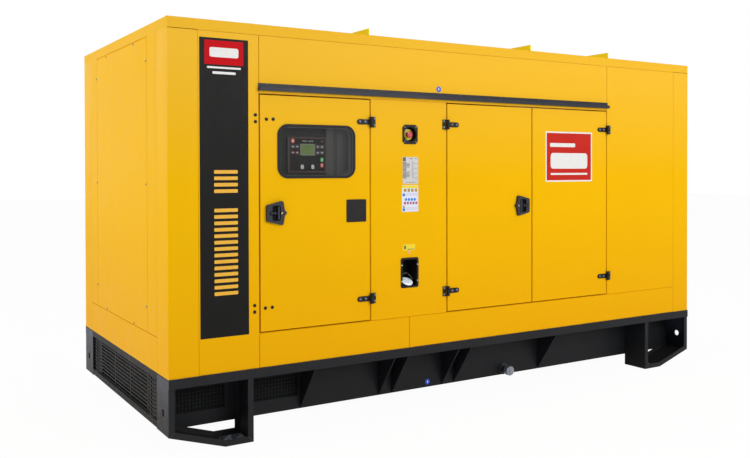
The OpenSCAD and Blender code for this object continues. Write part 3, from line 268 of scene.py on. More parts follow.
# The cap glows: painted light on a cap that sits in the shade of its recess.
CAP_GLOW = surface(
    "cast_cap_glow", (0.86, 0.92, 0.98), (0.76, 0.83, 0.91), 0.34, 60, 260, 0.3, metal=0.1, glow=0.22)
BAIL_STEEL = surface("bail_steel", (0.3, 0.31, 0.32), (0.2, 0.21, 0.22), 0.36, 60, 400, 0.1, metal=0.6)
DISC_YELLOW = surface("disc_yellow", (0.92, 0.72, 0.03), (0.84, 0.62, 0.02), 0.45, 30, 600, 0.08)
CASE = surface(
    "controller_case", (0.0085, 0.0078, 0.0072), (0.012, 0.011, 0.01), 0.5, 14, 1000, 0.15, gloss=0.08)
CABINET = surface(
    "cabinet_paint", (0.014, 0.0138, 0.013), (0.018, 0.0178, 0.017), 0.5, 4, 350, 0.12, gloss=0.1)
# Duct grey glows: painted light on the cabinet parts that lie in shade behind the window, also used for
# the controller's frame and the strips on the door linings.
DUCT_GLOW = surface(
    "duct_grey_glow", (0.042, 0.042, 0.041), (0.048, 0.048, 0.047), 0.5, 9, 350, 0.12, gloss=0.12,
    glow=0.45)
# Reveal grey glows strongly: painted light on the window sleeve's shaded walls.
REVEAL_GLOW = surface(
    "reveal_grey_glow", (0.043, 0.043, 0.042), (0.049, 0.049, 0.048), 0.6, 9, 350, 0.12, gloss=0.05,
    glow=0.95)
ENGINE = surface(
    "engine_paint", (0.22, 0.235, 0.25), (0.15, 0.16, 0.17), 0.48, 7, 160, 0.5, mark=(0.05, 0.045, 0.04),
    mark_scale=18)
ALTERNATOR = surface("alternator_paint", (0.16, 0.18, 0.2), (0.12, 0.135, 0.15), 0.42, 6, 250, 0.25)
RADIATOR = surface("radiator_paint", (0.022, 0.022, 0.024), (0.03, 0.03, 0.032), 0.5, 6, 300, 0.2)
SILENCER = surface(
    "silencer_steel", (0.34, 0.335, 0.32), (0.24, 0.225, 0.2), 0.45, 9, 120, 0.3, metal=0.8,
    mark=(0.16, 0.1, 0.06), mark_scale=22, mark_edge=0.6)
FILTER = surface("filter_plastic", (0.016, 0.016, 0.018), (0.022, 0.022, 0.024), 0.5, 12, 500, 0.2)
CHARCOAL = surface(
    "banner_film", (0.0098, 0.0096, 0.0094), (0.0118, 0.0115, 0.0112), 0.42, 5, 600, 0.05, gloss=0.08)
SIGN_RED = surface("sign_red", (0.56, 0.02, 0.01), (0.51, 0.017, 0.009), 0.4, 8, 600, 0.05, gloss=0.12)
BANNER_RED = surface(
    "banner_red", (0.58, 0.004, 0.009), (0.53, 0.003, 0.008), 0.45, 8, 600, 0.05, gloss=0.05)
WHITE = surface("film_white", (0.8, 0.8, 0.78), (0.76, 0.76, 0.75), 0.4, 20, 600, 0.05, gloss=0.3)
GLYPH = surface("film_yellow", (0.86, 0.46, 0.035), (0.82, 0.43, 0.03), 0.4, 20, 600, 0.05, gloss=0.3)
SILVER = surface("label_silver", (0.54, 0.54, 0.54), (0.48, 0.48, 0.48), 0.38, 30, 900, 0.08, metal=0.3)
BEZEL = surface("screen_bezel", (0.15, 0.15, 0.15), (0.12, 0.12, 0.12), 0.42, 30, 900, 0.08, metal=0.2)
RED_LINE = ink("border_red", (0.34, 0.045, 0.03), (0.28, 0.035, 0.025), 0.4, 30)
KEY_INK = ink("key_grey", (0.2, 0.2, 0.205), (0.24, 0.24, 0.245), 0.45, 40)
GREY_INK = ink("grey_ink", (0.085, 0.085, 0.09), (0.11, 0.11, 0.115), 0.5, 40)
PALE_INK = ink("pale_ink", (0.22, 0.22, 0.225), (0.25, 0.25, 0.255), 0.5, 40)
COPPER = surface("key_brass", (0.88, 0.62, 0.48), (0.78, 0.52, 0.4), 0.3, 80, 900, 0.08, metal=0.3)
BLUE = ink("film_blue", (0.008, 0.21, 0.74), (0.007, 0.19, 0.66), 0.36, 30)
DISC_BLUE = ink("disc_blue", (0.014, 0.085, 0.62), (0.012, 0.075, 0.55), 0.36, 30)
SEAM = surface("seam_brown", (0.2, 0.085, 0.004), (0.26, 0.115, 0.005), 0.6, 30, 600, 0.05, gloss=0.05)
LABEL_WHITE = ink("label_white", (0.75, 0.78, 0.92), (0.71, 0.74, 0.89), 0.4, 20, gloss=0.2)
OCHRE_INK = ink("ochre_ink", (0.42, 0.27, 0.01), (0.36, 0.23, 0.008), 0.45, 30)
PLUM_INK = ink("plum_ink", (0.4, 0.085, 0.15), (0.35, 0.07, 0.13), 0.45, 30)
LILAC_INK = ink("lilac_ink", (0.5, 0.5, 0.66), (0.56, 0.56, 0.72), 0.5, 40)
LABEL_YELLOW = ink("label_yellow", (0.84, 0.68, 0.004), (0.8, 0.64, 0.003), 0.4, 30)
SCREEN = surface(
    "screen", (0.135, 0.21, 0.045), (0.11, 0.175, 0.038), 0.3, 70, 800, 0.02, gloss=0.2, glow=0.18)
# The green and red keys glow: painted light on keys that sit in shade behind the window glass; the red
# also colours the block at the controller's top left.
KEY_GREEN_GLOW = ink("key_green_glow", (0.05, 0.52, 0.12), (0.04, 0.45, 0.1), 0.35, 60, glow=0.1)
KEY_RED_GLOW = ink("key_red_glow", (0.72, 0.1, 0.06), (0.64, 0.08, 0.05), 0.35, 60, glow=0.1)
FLANK = surface(
    "flank_paint", (0.026, 0.026, 0.027), (0.032, 0.032, 0.033), 0.5, 5, 300, 0.15, gloss=0.25)
FOAM = surface(
    "foam_lining", (0.018, 0.018, 0.019), (0.028, 0.028, 0.03), 0.85, 16, 120, 0.9, gloss=0.15)
GLASS = surface(
    "smoked_glass", (0.024, 0.025, 0.025), (0.03, 0.031, 0.031), 0.06, 3, 20, 0.01, gloss=1, alpha=0.1)

NODE_FINISH = {
    "canopy_yellow": YELLOW, "skid_black": BLACK, "fitting_black": FITTING,
    "drip_rail_grey": RAIL, "gasket_rubber": RUBBER, "window_glass": GLASS,
    "bright_metal": CHROME, "stop_red": RED, "controller_grey": CASE, "cabinet_grey": CABINET,
    "engine_grey": ENGINE, "alternator_grey": ALTERNATOR, "radiator_black": RADIATOR,
    "silencer_steel": SILENCER, "filter_black": FILTER,
}
OWN_FINISH = {
    "roof": ROOF_YELLOW_LIT_RIBS, "end_walls": END_YELLOW, "filler_cap": CAP_GLOW, "foot_end_plates": END_PLATE_SHEEN,
    "skid_end_louvres": LOUVRE, "skid_webs": WEB, "skid_gussets": WEB,
    "latch_1_dish": LATCH, "latch_2_dish": LATCH,
    "latch_1_lever": LATCH, "latch_2_lever": LATCH, "tank_coupling": STUB,
}
for part in frame["record"]["subparts"]:
    node_object = frame["nodes"][part["node"]]
    for material_slot in node_object.material_slots:
        material_slot.material = OWN_FINISH.get(part["node"], NODE_FINISH[part["material_slot"]])

# ---- Mesh helpers

FILM = 0.0006       # thickness of a stuck film
PATCH = 0.0003      # thickness of a coloured field on a film
PRINT = 0.0002      # thickness of one printed mark
AXIS_R = 0.0002     # a turned form's ends are closed this close to its axis
SMOOTH_BELOW = math.radians(30)


def rounded(w, h, r, steps=6):
    """Outline of a rounded rectangle about the origin."""
    points = []
    for cx, cy, start in ((1, 1, 0), (-1, 1, 90), (-1, -1, 180), (1, -1, 270)):
        for k in range(steps + 1):
            a = math.radians(start + 90 * k / steps)
            points.append((cx * (w / 2 - r) + r * math.cos(a), cy * (h / 2 - r) + r * math.sin(a)))
    return points


def circle(r, steps=24):
    """Outline of a circle about the origin."""
    return [(r * math.cos(2 * math.pi * k / steps), r * math.sin(2 * math.pi * k / steps))
            for k in range(steps)]


def shifted(outline, x, y):
    """The same outline moved by x and y."""
    return [(px + x, py + y) for px, py in outline]


class Shape:
    """Gathers prisms, rings and turned forms in one mesh with several materials."""

    def __init__(self, place=Matrix()):
        self.mesh = bmesh.new()
        self.materials = []
        self.place = place

    def at(self, place):
        """What is added from here on stands at this place."""
        self.place = place
        return self

    def index(self, mat):
        """The material's number in this mesh, added at its first use."""
        if mat not in self.materials:
            self.materials.append(mat)
        return self.materials.index(mat)

    def skin(self, loops, mat, close_ends=True):
        """Joins loops of equal length, each a list of (x, y, z), into a closed skin."""
        rows = [[self.mesh.verts.new(self.place @ Vector(p)) for p in loop] for loop in loops]
        count = len(rows[0])
        faces = []
        for a, b in zip(rows, rows[1:]):
            for k in range(count):
                n = (k + 1) % count
                faces.append((a[k], a[n], b[n], b[k]))
        if close_ends:
            faces.append(tuple(reversed(rows[0])))
            faces.append(tuple(rows[-1]))
        slot = self.index(mat)
        for corners in faces:
            face = self.mesh.faces.new(corners)
            face.material_index = slot
            face.smooth = True
        return self

    def plate(self, outline, bottom, top, mat, edge=0.0):
        """A flat plate between two heights, its upper edge softened where edge is given."""
        loops = [[(x, y, bottom) for x, y in outline]]
        if edge:
            cx = sum(p[0] for p in outline) / len(outline)
            cy = sum(p[1] for p in outline) / len(outline)
            half = max(max(abs(x - cx), abs(y - cy)) for x, y in outline)
            shrink = 1 - edge / half
            loops.append([(x, y, top - edge) for x, y in outline])
            loops.append([(cx + (x - cx) * shrink, cy + (y - cy) * shrink, top)
                          for x, y in outline])
        else:
            loops.append([(x, y, top) for x, y in outline])
        return self.skin(loops, mat)

    def ring(self, outer, inner, bottom, top, mat):
        """A flat frame between two outlines of equal length."""
        loops = [[(x, y, z) for x, y in outline]
                 for outline, z in ((outer, bottom), (outer, top), (inner, top), (inner, bottom),
                                    (outer, bottom))]
        return self.skin(loops, mat, close_ends=False)

    def turned(self, profile, mat, steps):
        """A form turned about local z from (radius, height) pairs."""
        loops = [[(x, y, z) for x, y in circle(r, steps)] for r, z in profile]
        return self.skin(loops, mat)

    def tube(self, points, r, mat, sides=6):
        """A round bar of radius r along points, its rings square to the path."""
        loops = []
        for k, point in enumerate(points):
            ahead = Vector(points[min(k + 1, len(points) - 1)]) - Vector(points[max(k - 1, 0)])
            turn = ahead.to_track_quat("Z", "Y").to_matrix()
            loops.append([tuple(Vector(point) + turn @ Vector((x, y, 0)))
                          for x, y in circle(r, sides)])
        return self.skin(loops, mat)

    def bolt(self, r, height, mat):
        """A dome-headed bolt on its washer."""
        profile = ((1.15, 0), (1.15, 0.15), (1, 0.2), (0.96, 0.5), (0.75, 0.85), (0.4, 1))
        return self.turned([(r * wide, height * up) for wide, up in profile] + [(AXIS_R, height)],
                           mat, 16)

    def screw(self, r, mat=ZINC):
        """A low pan-head screw with a round socket."""
        return self.turned([(r, 0), (r, r * 0.12), (r * 0.8, r * 0.26), (r * 0.3, r * 0.28),
                            (r * 0.25, r * 0.14), (0.0001, r * 0.14)], mat, 14)

    def film(self, w, tall, r, mat):
        """A stuck film with rounded corners."""
        return self.plate(rounded(w, tall, r, 3), 0, FILM, mat)

    def bar(self, s, h, w, t, mat, level=FILM):
        """One plain printed bar, s along and h up from the place."""
        outline = shifted(rounded(w, t, min(w, t) * 0.2, 3), s, h)
        return self.plate(outline, level, level + PRINT, mat)

    def dot(self, s, h, r, mat):
        """One plain printed disc."""
        return self.plate(shifted(circle(r, 16), s, h), FILM, FILM + PRINT, mat)

    def object(self, name, body, slot_name=None):
        """Makes the piece and rides it on its body; slot_name is not used."""
        bmesh.ops.remove_doubles(self.mesh, verts=self.mesh.verts, dist=1e-6)
        bmesh.ops.recalc_face_normals(self.mesh, faces=self.mesh.faces)
        data = bpy.data.meshes.new(name)
        self.mesh.to_mesh(data)
        self.mesh.free()
        for mat in self.materials:
            data.materials.append(mat)
        data.set_sharp_from_angle(angle=SMOOTH_BELOW)
        made = bpy.data.objects.new(name, data)
        bpy.context.scene.collection.objects.link(made)
        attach(made, body)
        return made


# ---- Banner, sign and labels, all without lettering

def banner():
    """A dark strip with a plain red block at its head and a run of plain bars up its length."""
    rows, gap, lowest, pitch = 20, (14, 15), -0.552, 0.0335
    shape = Shape(on_front(0.3045, 0.968)).film(0.27, 1.56, 0.003, CHARCOAL)
    shape.plate(shifted(rounded(0.215, 0.125, 0.002, 3), 0, 0.705), FILM, FILM + PATCH,
                BANNER_RED)
    shape.bar(0, 0.706, 0.16, 0.05, WHITE, FILM + PATCH)
    shape.bar(0, 0.627, 0.186, 0.01, WHITE)
    shape.bar(0, 0.6, 0.128, 0.013, WHITE)
    for k in range(rows):
        if k not in gap:
            shape.bar(0.008, lowest + pitch * k, 0.131, 0.0185, GLYPH)
    shape.object("side_banner", "set")


banner()


def door_sign():
    """A red plate with a white border and plain white bars."""
    w, tall, border = 0.43, 0.336, 0.01
    shape = Shape(on_front(2.777, 1.148)).film(w, tall, 0.004, WHITE)
    shape.plate(rounded(w - 2 * border, tall - 2 * border, 0.003, 3), FILM, FILM + PATCH,
                SIGN_RED)
    for marks in ((-0.06, 0.078, 0.23, 0.026), (0, -0.028, 0.34, 0.105), (0, -0.116, 0.34, 0.013)):
        shape.bar(*marks, WHITE, FILM + PATCH)
    shape.object("door_sign", "door_3")


door_sign()


def silver_label(shape):
    """A silver plate with short rows of plain bars in three columns."""
    shape.at(on_front(1.4785, 1.0585)).film(0.111, 0.159, 0.003, SILVER)
    shape.bar(-0.0435, 0.0655, 0.021, 0.024, GREY_INK)
    for s, w in ((0.004, 0.022), (0.04, 0.018)):
        shape.bar(s, 0.07, w, 0.006, PALE_INK)
    rows, top, pitch = 14, 0.048, 0.0072
    second_column, dark_entries = (1, 2, 3, 4, 8, 9, 10, 11, 12), (2, 3, 9, 11)
    for k in range(rows):
        h = top - pitch * k
        shape.bar(-0.042, h, 0.024 if k % 3 else 0.028, 0.0044, GREY_INK)
        if k in second_column:
            shape.bar(-0.0175, h, 0.022 if k % 2 else 0.026, 0.004,
                      GREY_INK if k in dark_entries else PALE_INK)
        shape.bar(0.0155, h, 0.01, 0.004, PALE_INK)
        if k % 4 == 1:
            shape.bar(0.038, h, 0.026, 0.003, PALE_INK)
    shape.bar(0.004, -0.0715, 0.076, 0.003, PALE_INK)


def safety_label(shape):
    """A white film with a yellow head, rows of plain squares and blue discs."""
    shape.at(on_front(1.476, 0.891)).film(0.117, 0.158, 0.003, LABEL_WHITE)
    shape.bar(0, 0.069, 0.115, 0.016, LABEL_YELLOW)
    for s in (-0.036, -0.01, 0.0155, 0.0415):
        shape.bar(s, 0.0487, 0.018, 0.0187, OCHRE_INK)
    for h in (0.0216, -0.0662):
        shape.dot(-0.0455, h, 0.0095, BLUE)
    shape.bar(-0.0455, -0.05, 0.013, 0.012, OCHRE_INK)
    for s in (-0.03, -0.009, 0.012, 0.033):
        shape.dot(s, -0.0062, 0.0088, BLUE)
    for k in range(5):
        shape.bar(-0.0376 + 0.0205 * k, -0.0272, 0.0145, 0.016, PLUM_INK)
    for k in range(3):
        for h in (0.03, -0.055):
            shape.bar(0.012, h - 0.006 * k, 0.085, 0.0024, LILAC_INK)


def small_label(shape):
    """A small yellow film with a square and a line."""
    shape.at(on_front(1.467, 0.5995)).film(0.086, 0.037, 0.002, LABEL_YELLOW)
    shape.bar(-0.029, 0, 0.014, 0.022, GREY_INK)
    shape.bar(0.014, -0.011, 0.05, 0.004, GREY_INK)


def service_labels():
    """The three labels of the service panel."""
    shape = Shape()
    silver_label(shape)
    safety_label(shape)
    small_label(shape)
    shape.object("service_labels", "set")


service_labels()


def blue_discs():
    """Two blue discs, one over the door and one on the skid's web."""
    r, thick = 0.018, 0.001
    shape = Shape()
    header = on_front(1.687, 1.551)
    web = face_place(LEFT + 1.735, BASE - 0.28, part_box("skid_webs")[0].y)
    for place in (header, web):
        shape.at(place).turned([(r, 0), (r, thick - 0.0004), (r - 0.0006, thick), (AXIS_R, thick)],
                               DISC_BLUE, 24)
        shape.bar(0, 0, 0.007, 0.015, WHITE, thick)
    shape.object("blue_discs", "set")


blue_discs()


# ---- Roof joint lines, plugs, screws and rivets

def roof_seams():
    """The dark joint lines under the roof's skirt across the corner posts."""
    short, tall = 0.002, 0.0034
    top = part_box("front_header")[1].z
    low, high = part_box("front_panels")
    shape = Shape()
    for x0, x1 in ((LEFT + short, low.x), (high.x, RIGHT - short)):
        for y, sign in ((FRONT, -1), (BACK, 1)):
            shape.at(face_place((x0 + x1) / 2, top, y, sign))
            shape.plate(rounded(x1 - x0, tall, 0.0012, 3), 0.0001, 0.0005, SEAM)
    shape.object("roof_seams", "set", "canopy_yellow")


roof_seams()

PLUGS_WALL = ((0.48, 1.356), (0.48, 1.32), (0.472, 0.338), (0.472, 0.303))
PLUGS_DOOR = ((0.544, 1.335), (0.584, 1.336), (0.534, 0.319), (0.575, 0.32))


def plugs(name, places, body):
    """Domed rubber plugs in the door side."""
    profile = ((0.0095, 0), (0.0095, 0.0015), (0.008, 0.003), (0.003, 0.0035), (AXIS_R, 0.0035))
    shape = Shape()
    for s, h in places:
        shape.at(on_front(s, h)).turned(profile, RUBBER, 16)
    shape.object(name, body, "gasket_rubber")


plugs("wall_plugs", PLUGS_WALL, "set")
plugs("door_plugs", PLUGS_DOOR, "door_1")


def rail_rivets():
    """One row of rivets along each drip rail."""
    shape = Shape()
    low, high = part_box("drip_rails")
    lip, up, clear = 0.004, 0.031, 0.02
    start, pitch = 0.873, 0.325
    r, tall = 0.005, 0.0025
    for sign, y in ((-1, FRONT - lip), (1, BACK + lip)):
        for k in range(-1, 8):
            x = LEFT + (start + pitch * k)
            if low.x + clear < x < high.x - clear:
                shape.at(face_place(x, low.z + up, y, sign)).bolt(r, tall, RIVET)
    shape.object("rail_rivets", "set", "drip_rail_grey")


rail_rivets()

BOLT_R = 0.007
LABEL_SCREW, LABEL_SCREW_R = (1.468, 0.569), 0.006
END_SCREWS = ((1.2, 1.77), (0.6, 1.77), (1.44, 1.652), (0.362, 1.651), (1.434, 0.984),
              (0.365, 0.985), (1.433, 0.323), (0.368, 0.323), (1.2, 0.198), (0.607, 0.198))


def end_screws():
    """The screws of both end walls and the one under the service labels."""
    shape = Shape()
    for sign in (-1, 1):
        for d, h in END_SCREWS:
            shape.at(on_end(d, h, sign)).screw(BOLT_R, BOLT)
    shape.at(on_front(*LABEL_SCREW)).screw(LABEL_SCREW_R)
    shape.object("panel_screws", "set", "bright_metal")


end_screws()

# ---- Hinge bolts

STRAP_BOLTS = (0.071, 0.035)
LEAF_BOLT_IN = 0.026
LEAF_BOLT_UP = 0.019
STRAP_T = 0.006
HINGE_TALL = 0.03
HEAD_TALL = 0.006
KNUCKLE_R = 0.009


def hinge_bolts(name, body, axis_s, places):
    """Dome bolts at the same places on both hinges of one joint line."""
    shape = Shape()
    box_low, box_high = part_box("door_1_straps")
    for h in (box_low.z + HINGE_TALL / 2 - BASE, box_high.z - HINGE_TALL / 2 - BASE):
        for ds, dh in places:
            shape.at(on_front(axis_s + ds, h + dh, STRAP_T)).bolt(BOLT_R, HEAD_TALL, BOLT)
    shape.object(name, body, "bright_metal")


def hinge_axis(door, out):
    """A door's hinge axis from the left end, from the outer edge of its knuckles."""
    low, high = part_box(door + "_straps")
    return (high.x - KNUCKLE_R if out > 0 else low.x + KNUCKLE_R) - LEFT


for door, out in (("door_1", 1), ("door_2", -1), ("door_3", 1)):
    axis_s = hinge_axis(door, out)
    hinge_bolts(door + "_strap_bolts", door, axis_s, [(-out * reach, 0) for reach in STRAP_BOLTS])
    hinge_bolts(door + "_leaf_bolts", "set", axis_s,
                [(out * LEAF_BOLT_IN, up) for up in (LEAF_BOLT_UP, -LEAF_BOLT_UP)])


# ---- Emergency stop and filler

def stop_trim():
    """The housing's screws and the yellow disc behind the button, ringed with plain ticks."""
    screw_x, screw_z, screw_r = 0.0396, 0.043, 0.0046
    depth, thick = 0.024, 0.0006
    ticks, tick_r = 24, 0.0265
    low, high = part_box("stop_housing")
    front = mid_place(low, high, low.y)
    shape = Shape()
    for x in (-screw_x, screw_x):
        for z in (-screw_z, screw_z):
            shape.at(front @ Matrix.Translation((x, z, 0))).screw(screw_r, BOLT)
    disc = mid_place(low, high, FRONT + depth)
    shape.at(disc).ring(circle(0.0328, 40), circle(0.0135, 40), 0, thick, DISC_YELLOW)
    for k in range(ticks):
        a = 2 * math.pi * k / ticks
        turn = disc @ Matrix.Rotation(a, 4, "Z") @ Matrix.Translation((tick_r, 0, 0))
        shape.at(turn).plate(rounded(0.006, 0.0022, 0.0006, 2), thick, 0.0008, GREY_INK)
    shape.object("stop_trim", "set")


stop_trim()


def stop_mushroom():
    """A shallow glossy head with rolled edges on a black neck."""
    low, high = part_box("stop_button")
    neck = high.y - low.y
    shape = Shape(mid_place(low, high, low.y))
    shape.turned([(AXIS_R, -neck), (0.009, -neck), (0.009, -0.012), (0.0115, -0.0105),
                  (AXIS_R, -0.0105)], FITTING, 32)
    shape.turned([(AXIS_R, -0.011), (0.0165, -0.011), (0.0185, -0.01), (0.0197, -0.0075),
                  (0.0199, -0.0045), (0.019, -0.002), (0.0165, -0.0008), (0.012, -0.0002),
                  (0.006, -0.0006), (AXIS_R, -0.0008)], RED, 48)
    made = shape.object("stop_mushroom", "stop", "stop_red")
    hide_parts("stop_button")


stop_mushroom()

NECK_TILT = math.radians(58)
BAIL = ((1.44, 0.43), (1.445, 0.438), (1.457, 0.4435), (1.47, 0.443), (1.482, 0.4375),
        (1.496, 0.424), (1.514, 0.403))


def smooth(path, steps=4):
    """A finer run of points along a path, through each of its own."""
    fine = []
    for k in range(len(path) - 1):
        before, after = path[max(k - 1, 0)], path[min(k + 2, len(path) - 1)]
        for j in range(steps):
            f = j / steps
            fine.append(tuple(
                (2 * b + (c - a) * f + (2 * a - 5 * b + 4 * c - d) * f * f
                 + (3 * b - a - 3 * c + d) * f * f * f) / 2
                for a, b, c, d in zip(before, path[k], path[k + 1], after)))
    return fine + [path[-1]]


def filler_trim():
    """The screws of the filler's recess and the wire bail over its cap."""
    screw_x, screw_r = 0.0565, 0.0048
    bail_in, wire_r = 0.031, 0.0011
    low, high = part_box("filler_recess")
    front = face_place((low.x + high.x) / 2, 0, low.y)
    shape = Shape()
    for x in (-screw_x, screw_x):
        for z in (BASE + 0.495, BASE + 0.399):
            shape.at(front @ Matrix.Translation((x, z, 0))).screw(screw_r)
    shape.object("filler_screws", "set", "bright_metal")
    points = [(LEFT + s, FRONT + bail_in, BASE + h) for s, h in smooth(BAIL)]
    bail = Shape().tube(points, wire_r, BAIL_STEEL, 8)
    bail.object("filler_bail", "set", "bright_metal")


def turned_cap():
    """The cap as a thin flange with a stepped lid and grip lugs, glowing as painted light, over a black
    collar that is painted shade under the flange.
    """
    low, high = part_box("filler_cap")
    lean, rise = math.cos(NECK_TILT), math.sin(NECK_TILT)
    middle = (low + high) / 2
    place = Matrix(((1, 0, 0, middle.x), (0, rise, -lean, middle.y), (0, lean, rise, middle.z),
                    (0, 0, 0, 1)))
    shape = Shape(place)
    # Black collar: painted shade under the cap's flange.
    shape.turned([(AXIS_R, -0.007), (0.0265, -0.007), (0.0265, 0.0005), (AXIS_R, 0.0005)],
                 FITTING, 40)
    shape.turned([(AXIS_R, 0), (0.0352, 0), (0.037, 0.0012), (0.037, 0.0036),
                  (0.0358, 0.0046), (0.0302, 0.005), (0.0292, 0.0056), (0.0286, 0.0066),
                  (0.0272, 0.007), (0.011, 0.0068), (AXIS_R, 0.0066)], CAP_GLOW, 56)
    lugs, first_lug = 3, 20
    for k in range(lugs):
        shape.at(place @ Matrix.Rotation(math.radians(first_lug + 360 / lugs * k), 4, "Z"))
        shape.plate(shifted(rounded(0.01, 0.0042, 0.0015, 3), 0.02, 0), 0.0066, 0.007, BAIL_STEEL)
    made = shape.object("turned_cap", "set", "bright_metal")
    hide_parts("filler_cap")


filler_trim()
turned_cap()

# ---- Latches

# Places along a latch count from the end of its dish nearer the door's free edge.
DISH_OUT = 0.018
POCKET_DEPTH = 0.014
POCKET_X = (0.03, 0.0805)
POCKET_TALL = 0.083
STEM_TALL = 0.0164
HUB_R = 0.008
BAR_AT = 0.064
BARREL_AT = {1: 0.087, 2: 0.095}
PIVOT_AT = 0.027
BOSS_AT = 0.046
KEY_TURN = math.radians(38)
FLOOR_UP = 0.0007   # top of the dark sheet on a pocket's floor


def open_wall(shape, outer, inner, gap, side, top, mat):
    """A frame between two outlines, left open by gap either way of the middle of one side."""
    first = len(outer) // 2 if side < 0 else 0
    ends = []
    for outline in (outer, inner):
        run = outline[first:] + outline[:first]
        ends.append([(run[0][0], side * gap)] + run + [(run[0][0], -side * gap)])
    shape.skin([[(*a, FLOOR_UP), (*a, top), (*b, top), (*b, FLOOR_UP)] for a, b in zip(*ends)],
               mat)


def latch_marks(number, out):
    """Painted shade darkening the finger pocket, key slot on the barrel, and the hub cap, stem and boss
    of the lever.
    """
    low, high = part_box("latch_%d_dish" % number)
    side = low.x if out > 0 else high.x
    middle = (low.z + high.z) / 2

    def place(along, depth):
        return face_place(side + out * along, middle, FRONT - depth)

    x0, x1 = POCKET_X
    pocket = place((x0 + x1) / 2, DISH_OUT - POCKET_DEPTH)
    floor = rounded(x1 - x0 - 0.001, POCKET_TALL - 0.001, 0.0115)
    rim = rounded(x1 - x0 - 0.003, POCKET_TALL - 0.003, 0.0105)
    # The pocket's floor and walls: a dark sheet of painted shade in the recess.
    key = Shape(pocket).plate(floor, 0.0002, FLOOR_UP, POCKET_SHADE)
    open_wall(key, floor, rim, STEM_TALL / 2 + 0.003, -out, POCKET_DEPTH - 0.003, POCKET_SHADE)
    barrel = place(BARREL_AT[number], DISH_OUT + 0.002)
    slot_turn = barrel @ Matrix.Rotation(-out * KEY_TURN, 4, "Z")
    key.at(barrel).ring(circle(0.0058), circle(0.005), 0, 0.0004, FITTING)
    key.at(slot_turn).plate(rounded(0.0052, 0.0114, 0.0014, 3), 0, 0.0006, COPPER)
    key.object("latch_%d_key" % number, "door_%d" % number, "bright_metal")
    hub = Shape(place(PIVOT_AT, DISH_OUT))
    hub.turned([(AXIS_R, 0.0002), (HUB_R, 0.0002), (HUB_R, 0.0012), (HUB_R - 0.001, 0.0018),
                (AXIS_R, 0.0018)], LATCH, 28)
    hub.at(place((PIVOT_AT + BAR_AT) / 2, DISH_OUT))
    # The stem: a thin strip of the same painted shade.
    hub.plate(rounded(BAR_AT - PIVOT_AT, STEM_TALL, 0.001, 2), 0, 0.0004, POCKET_SHADE)
    hub.at(place(BOSS_AT, DISH_OUT))
    hub.turned([(AXIS_R, 0.0004), (0.0042, 0.0004), (0.0038, 0.0012), (AXIS_R, 0.0016)], RIVET, 20)
    hub.object("latch_%d_hub" % number, "latch_%d" % number, "fitting_black")


latch_marks(1, 1)
latch_marks(2, -1)


# ---- Controller and cabinet

def controller_face():
    """Bezel, screen and keys of the controller, with plain blocks for its printing."""
    bezel, key_up, screen_up = 0.0016, 0.0008, 0.0005
    low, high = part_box("controller")
    wide, tall = high.x - low.x, high.z - low.z
    shape = Shape(on_node("controller"))
    # Outer frame in the glowing duct grey: painted light.
    shape.ring(rounded(wide, tall, 0.006), rounded(wide - 0.012, tall - 0.006, 0.005), 0, bezel,
               DUCT_GLOW)
    shape.ring(rounded(wide - 0.022, tall - 0.01, 0.003),
               rounded(wide - 0.0245, tall - 0.0125, 0.002), 0, 0.0004, RED_LINE)
    lcd = (0.001, 0.029)
    glass = shifted(rounded(0.082, 0.056, 0.003), *lcd)
    shape.ring(shifted(rounded(0.095, 0.066, 0.005), *lcd), glass, 0, bezel, BEZEL)
    shape.plate(glass, 0, screen_up, SCREEN)
    for k, w in enumerate((0.06, 0.048, 0.064, 0.04)):
        shape.bar(lcd[0] - 0.005, lcd[1] + 0.018 - 0.012 * k, w, 0.0022, CASE, screen_up)
    shape.bar(-0.091, 0.0775, 0.019, 0.024, KEY_RED_GLOW, 0)
    shape.bar(-0.091, 0.0775, 0.01, 0.008, WHITE, PRINT)
    for marks in ((-0.018, 0.077, 0.028, 0.0055), (0.021, 0.077, 0.034, 0.0055),
                  (0.091, 0.0765, 0.014, 0.003)):
        shape.bar(*marks, PALE_INK, 0)
    for s in (-0.091, -0.064, 0.065, 0.092):
        for h, tone in ((0.0455, KEY_INK), (0.0125, RED_LINE if s < 0 else KEY_INK)):
            shape.ring(shifted(rounded(0.02, 0.02, 0.005), s, h),
                       shifted(rounded(0.0176, 0.0176, 0.004), s, h), 0, key_up, tone)
            shape.plate(shifted(rounded(0.008, 0.006, 0.0015), s, h), 0, key_up, WHITE)
    for h, tone in ((-0.0275, KEY_GREEN_GLOW), (-0.0585, KEY_RED_GLOW)):
        shape.plate(shifted(rounded(0.017, 0.023, 0.003), 0.091, h), 0, bezel, tone, 0.0006)
        shape.bar(0.091, h, 0.004, 0.011, WHITE, bezel)
    for s in (-0.033, 0.033):
        shape.plate(shifted(rounded(0.016, 0.022, 0.002), s, -0.067), 0, 0.0014, WHITE, 0.0004)
        for h in (-0.0625, -0.0715):
            shape.bar(s, h, 0.006, 0.004, GREY_INK, 0.0014)
    shape.object("controller_face", "set", "controller_grey")


controller_face()

PANELS = ((0.948, 0.99), (0.9915, 1.018), (1.019, 1.104))
GROOVES = (0.9965, 1.0045, 1.0125)


def cabinet_ducts():
    """Upright cable ducts beside the controller, the middle one grooved, glowing as painted light."""
    middle, thick = BASE + 1.12, 0.004
    duct = Shape(face_place(0, 0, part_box("control_cabinet")[0].y))
    for start, stop in PANELS:
        panel = rounded(stop - start, 0.56, 0.002, 3)
        duct.plate(shifted(panel, LEFT + (start + stop) / 2, middle), 0, thick, DUCT_GLOW, 0.001)
    for s in GROOVES:
        duct.bar(LEFT + s, middle, 0.0026, 0.556, CASE, thick)
    duct.object("cabinet_ducts", "set", "cabinet_grey")


cabinet_ducts()

# ---- Air inlets

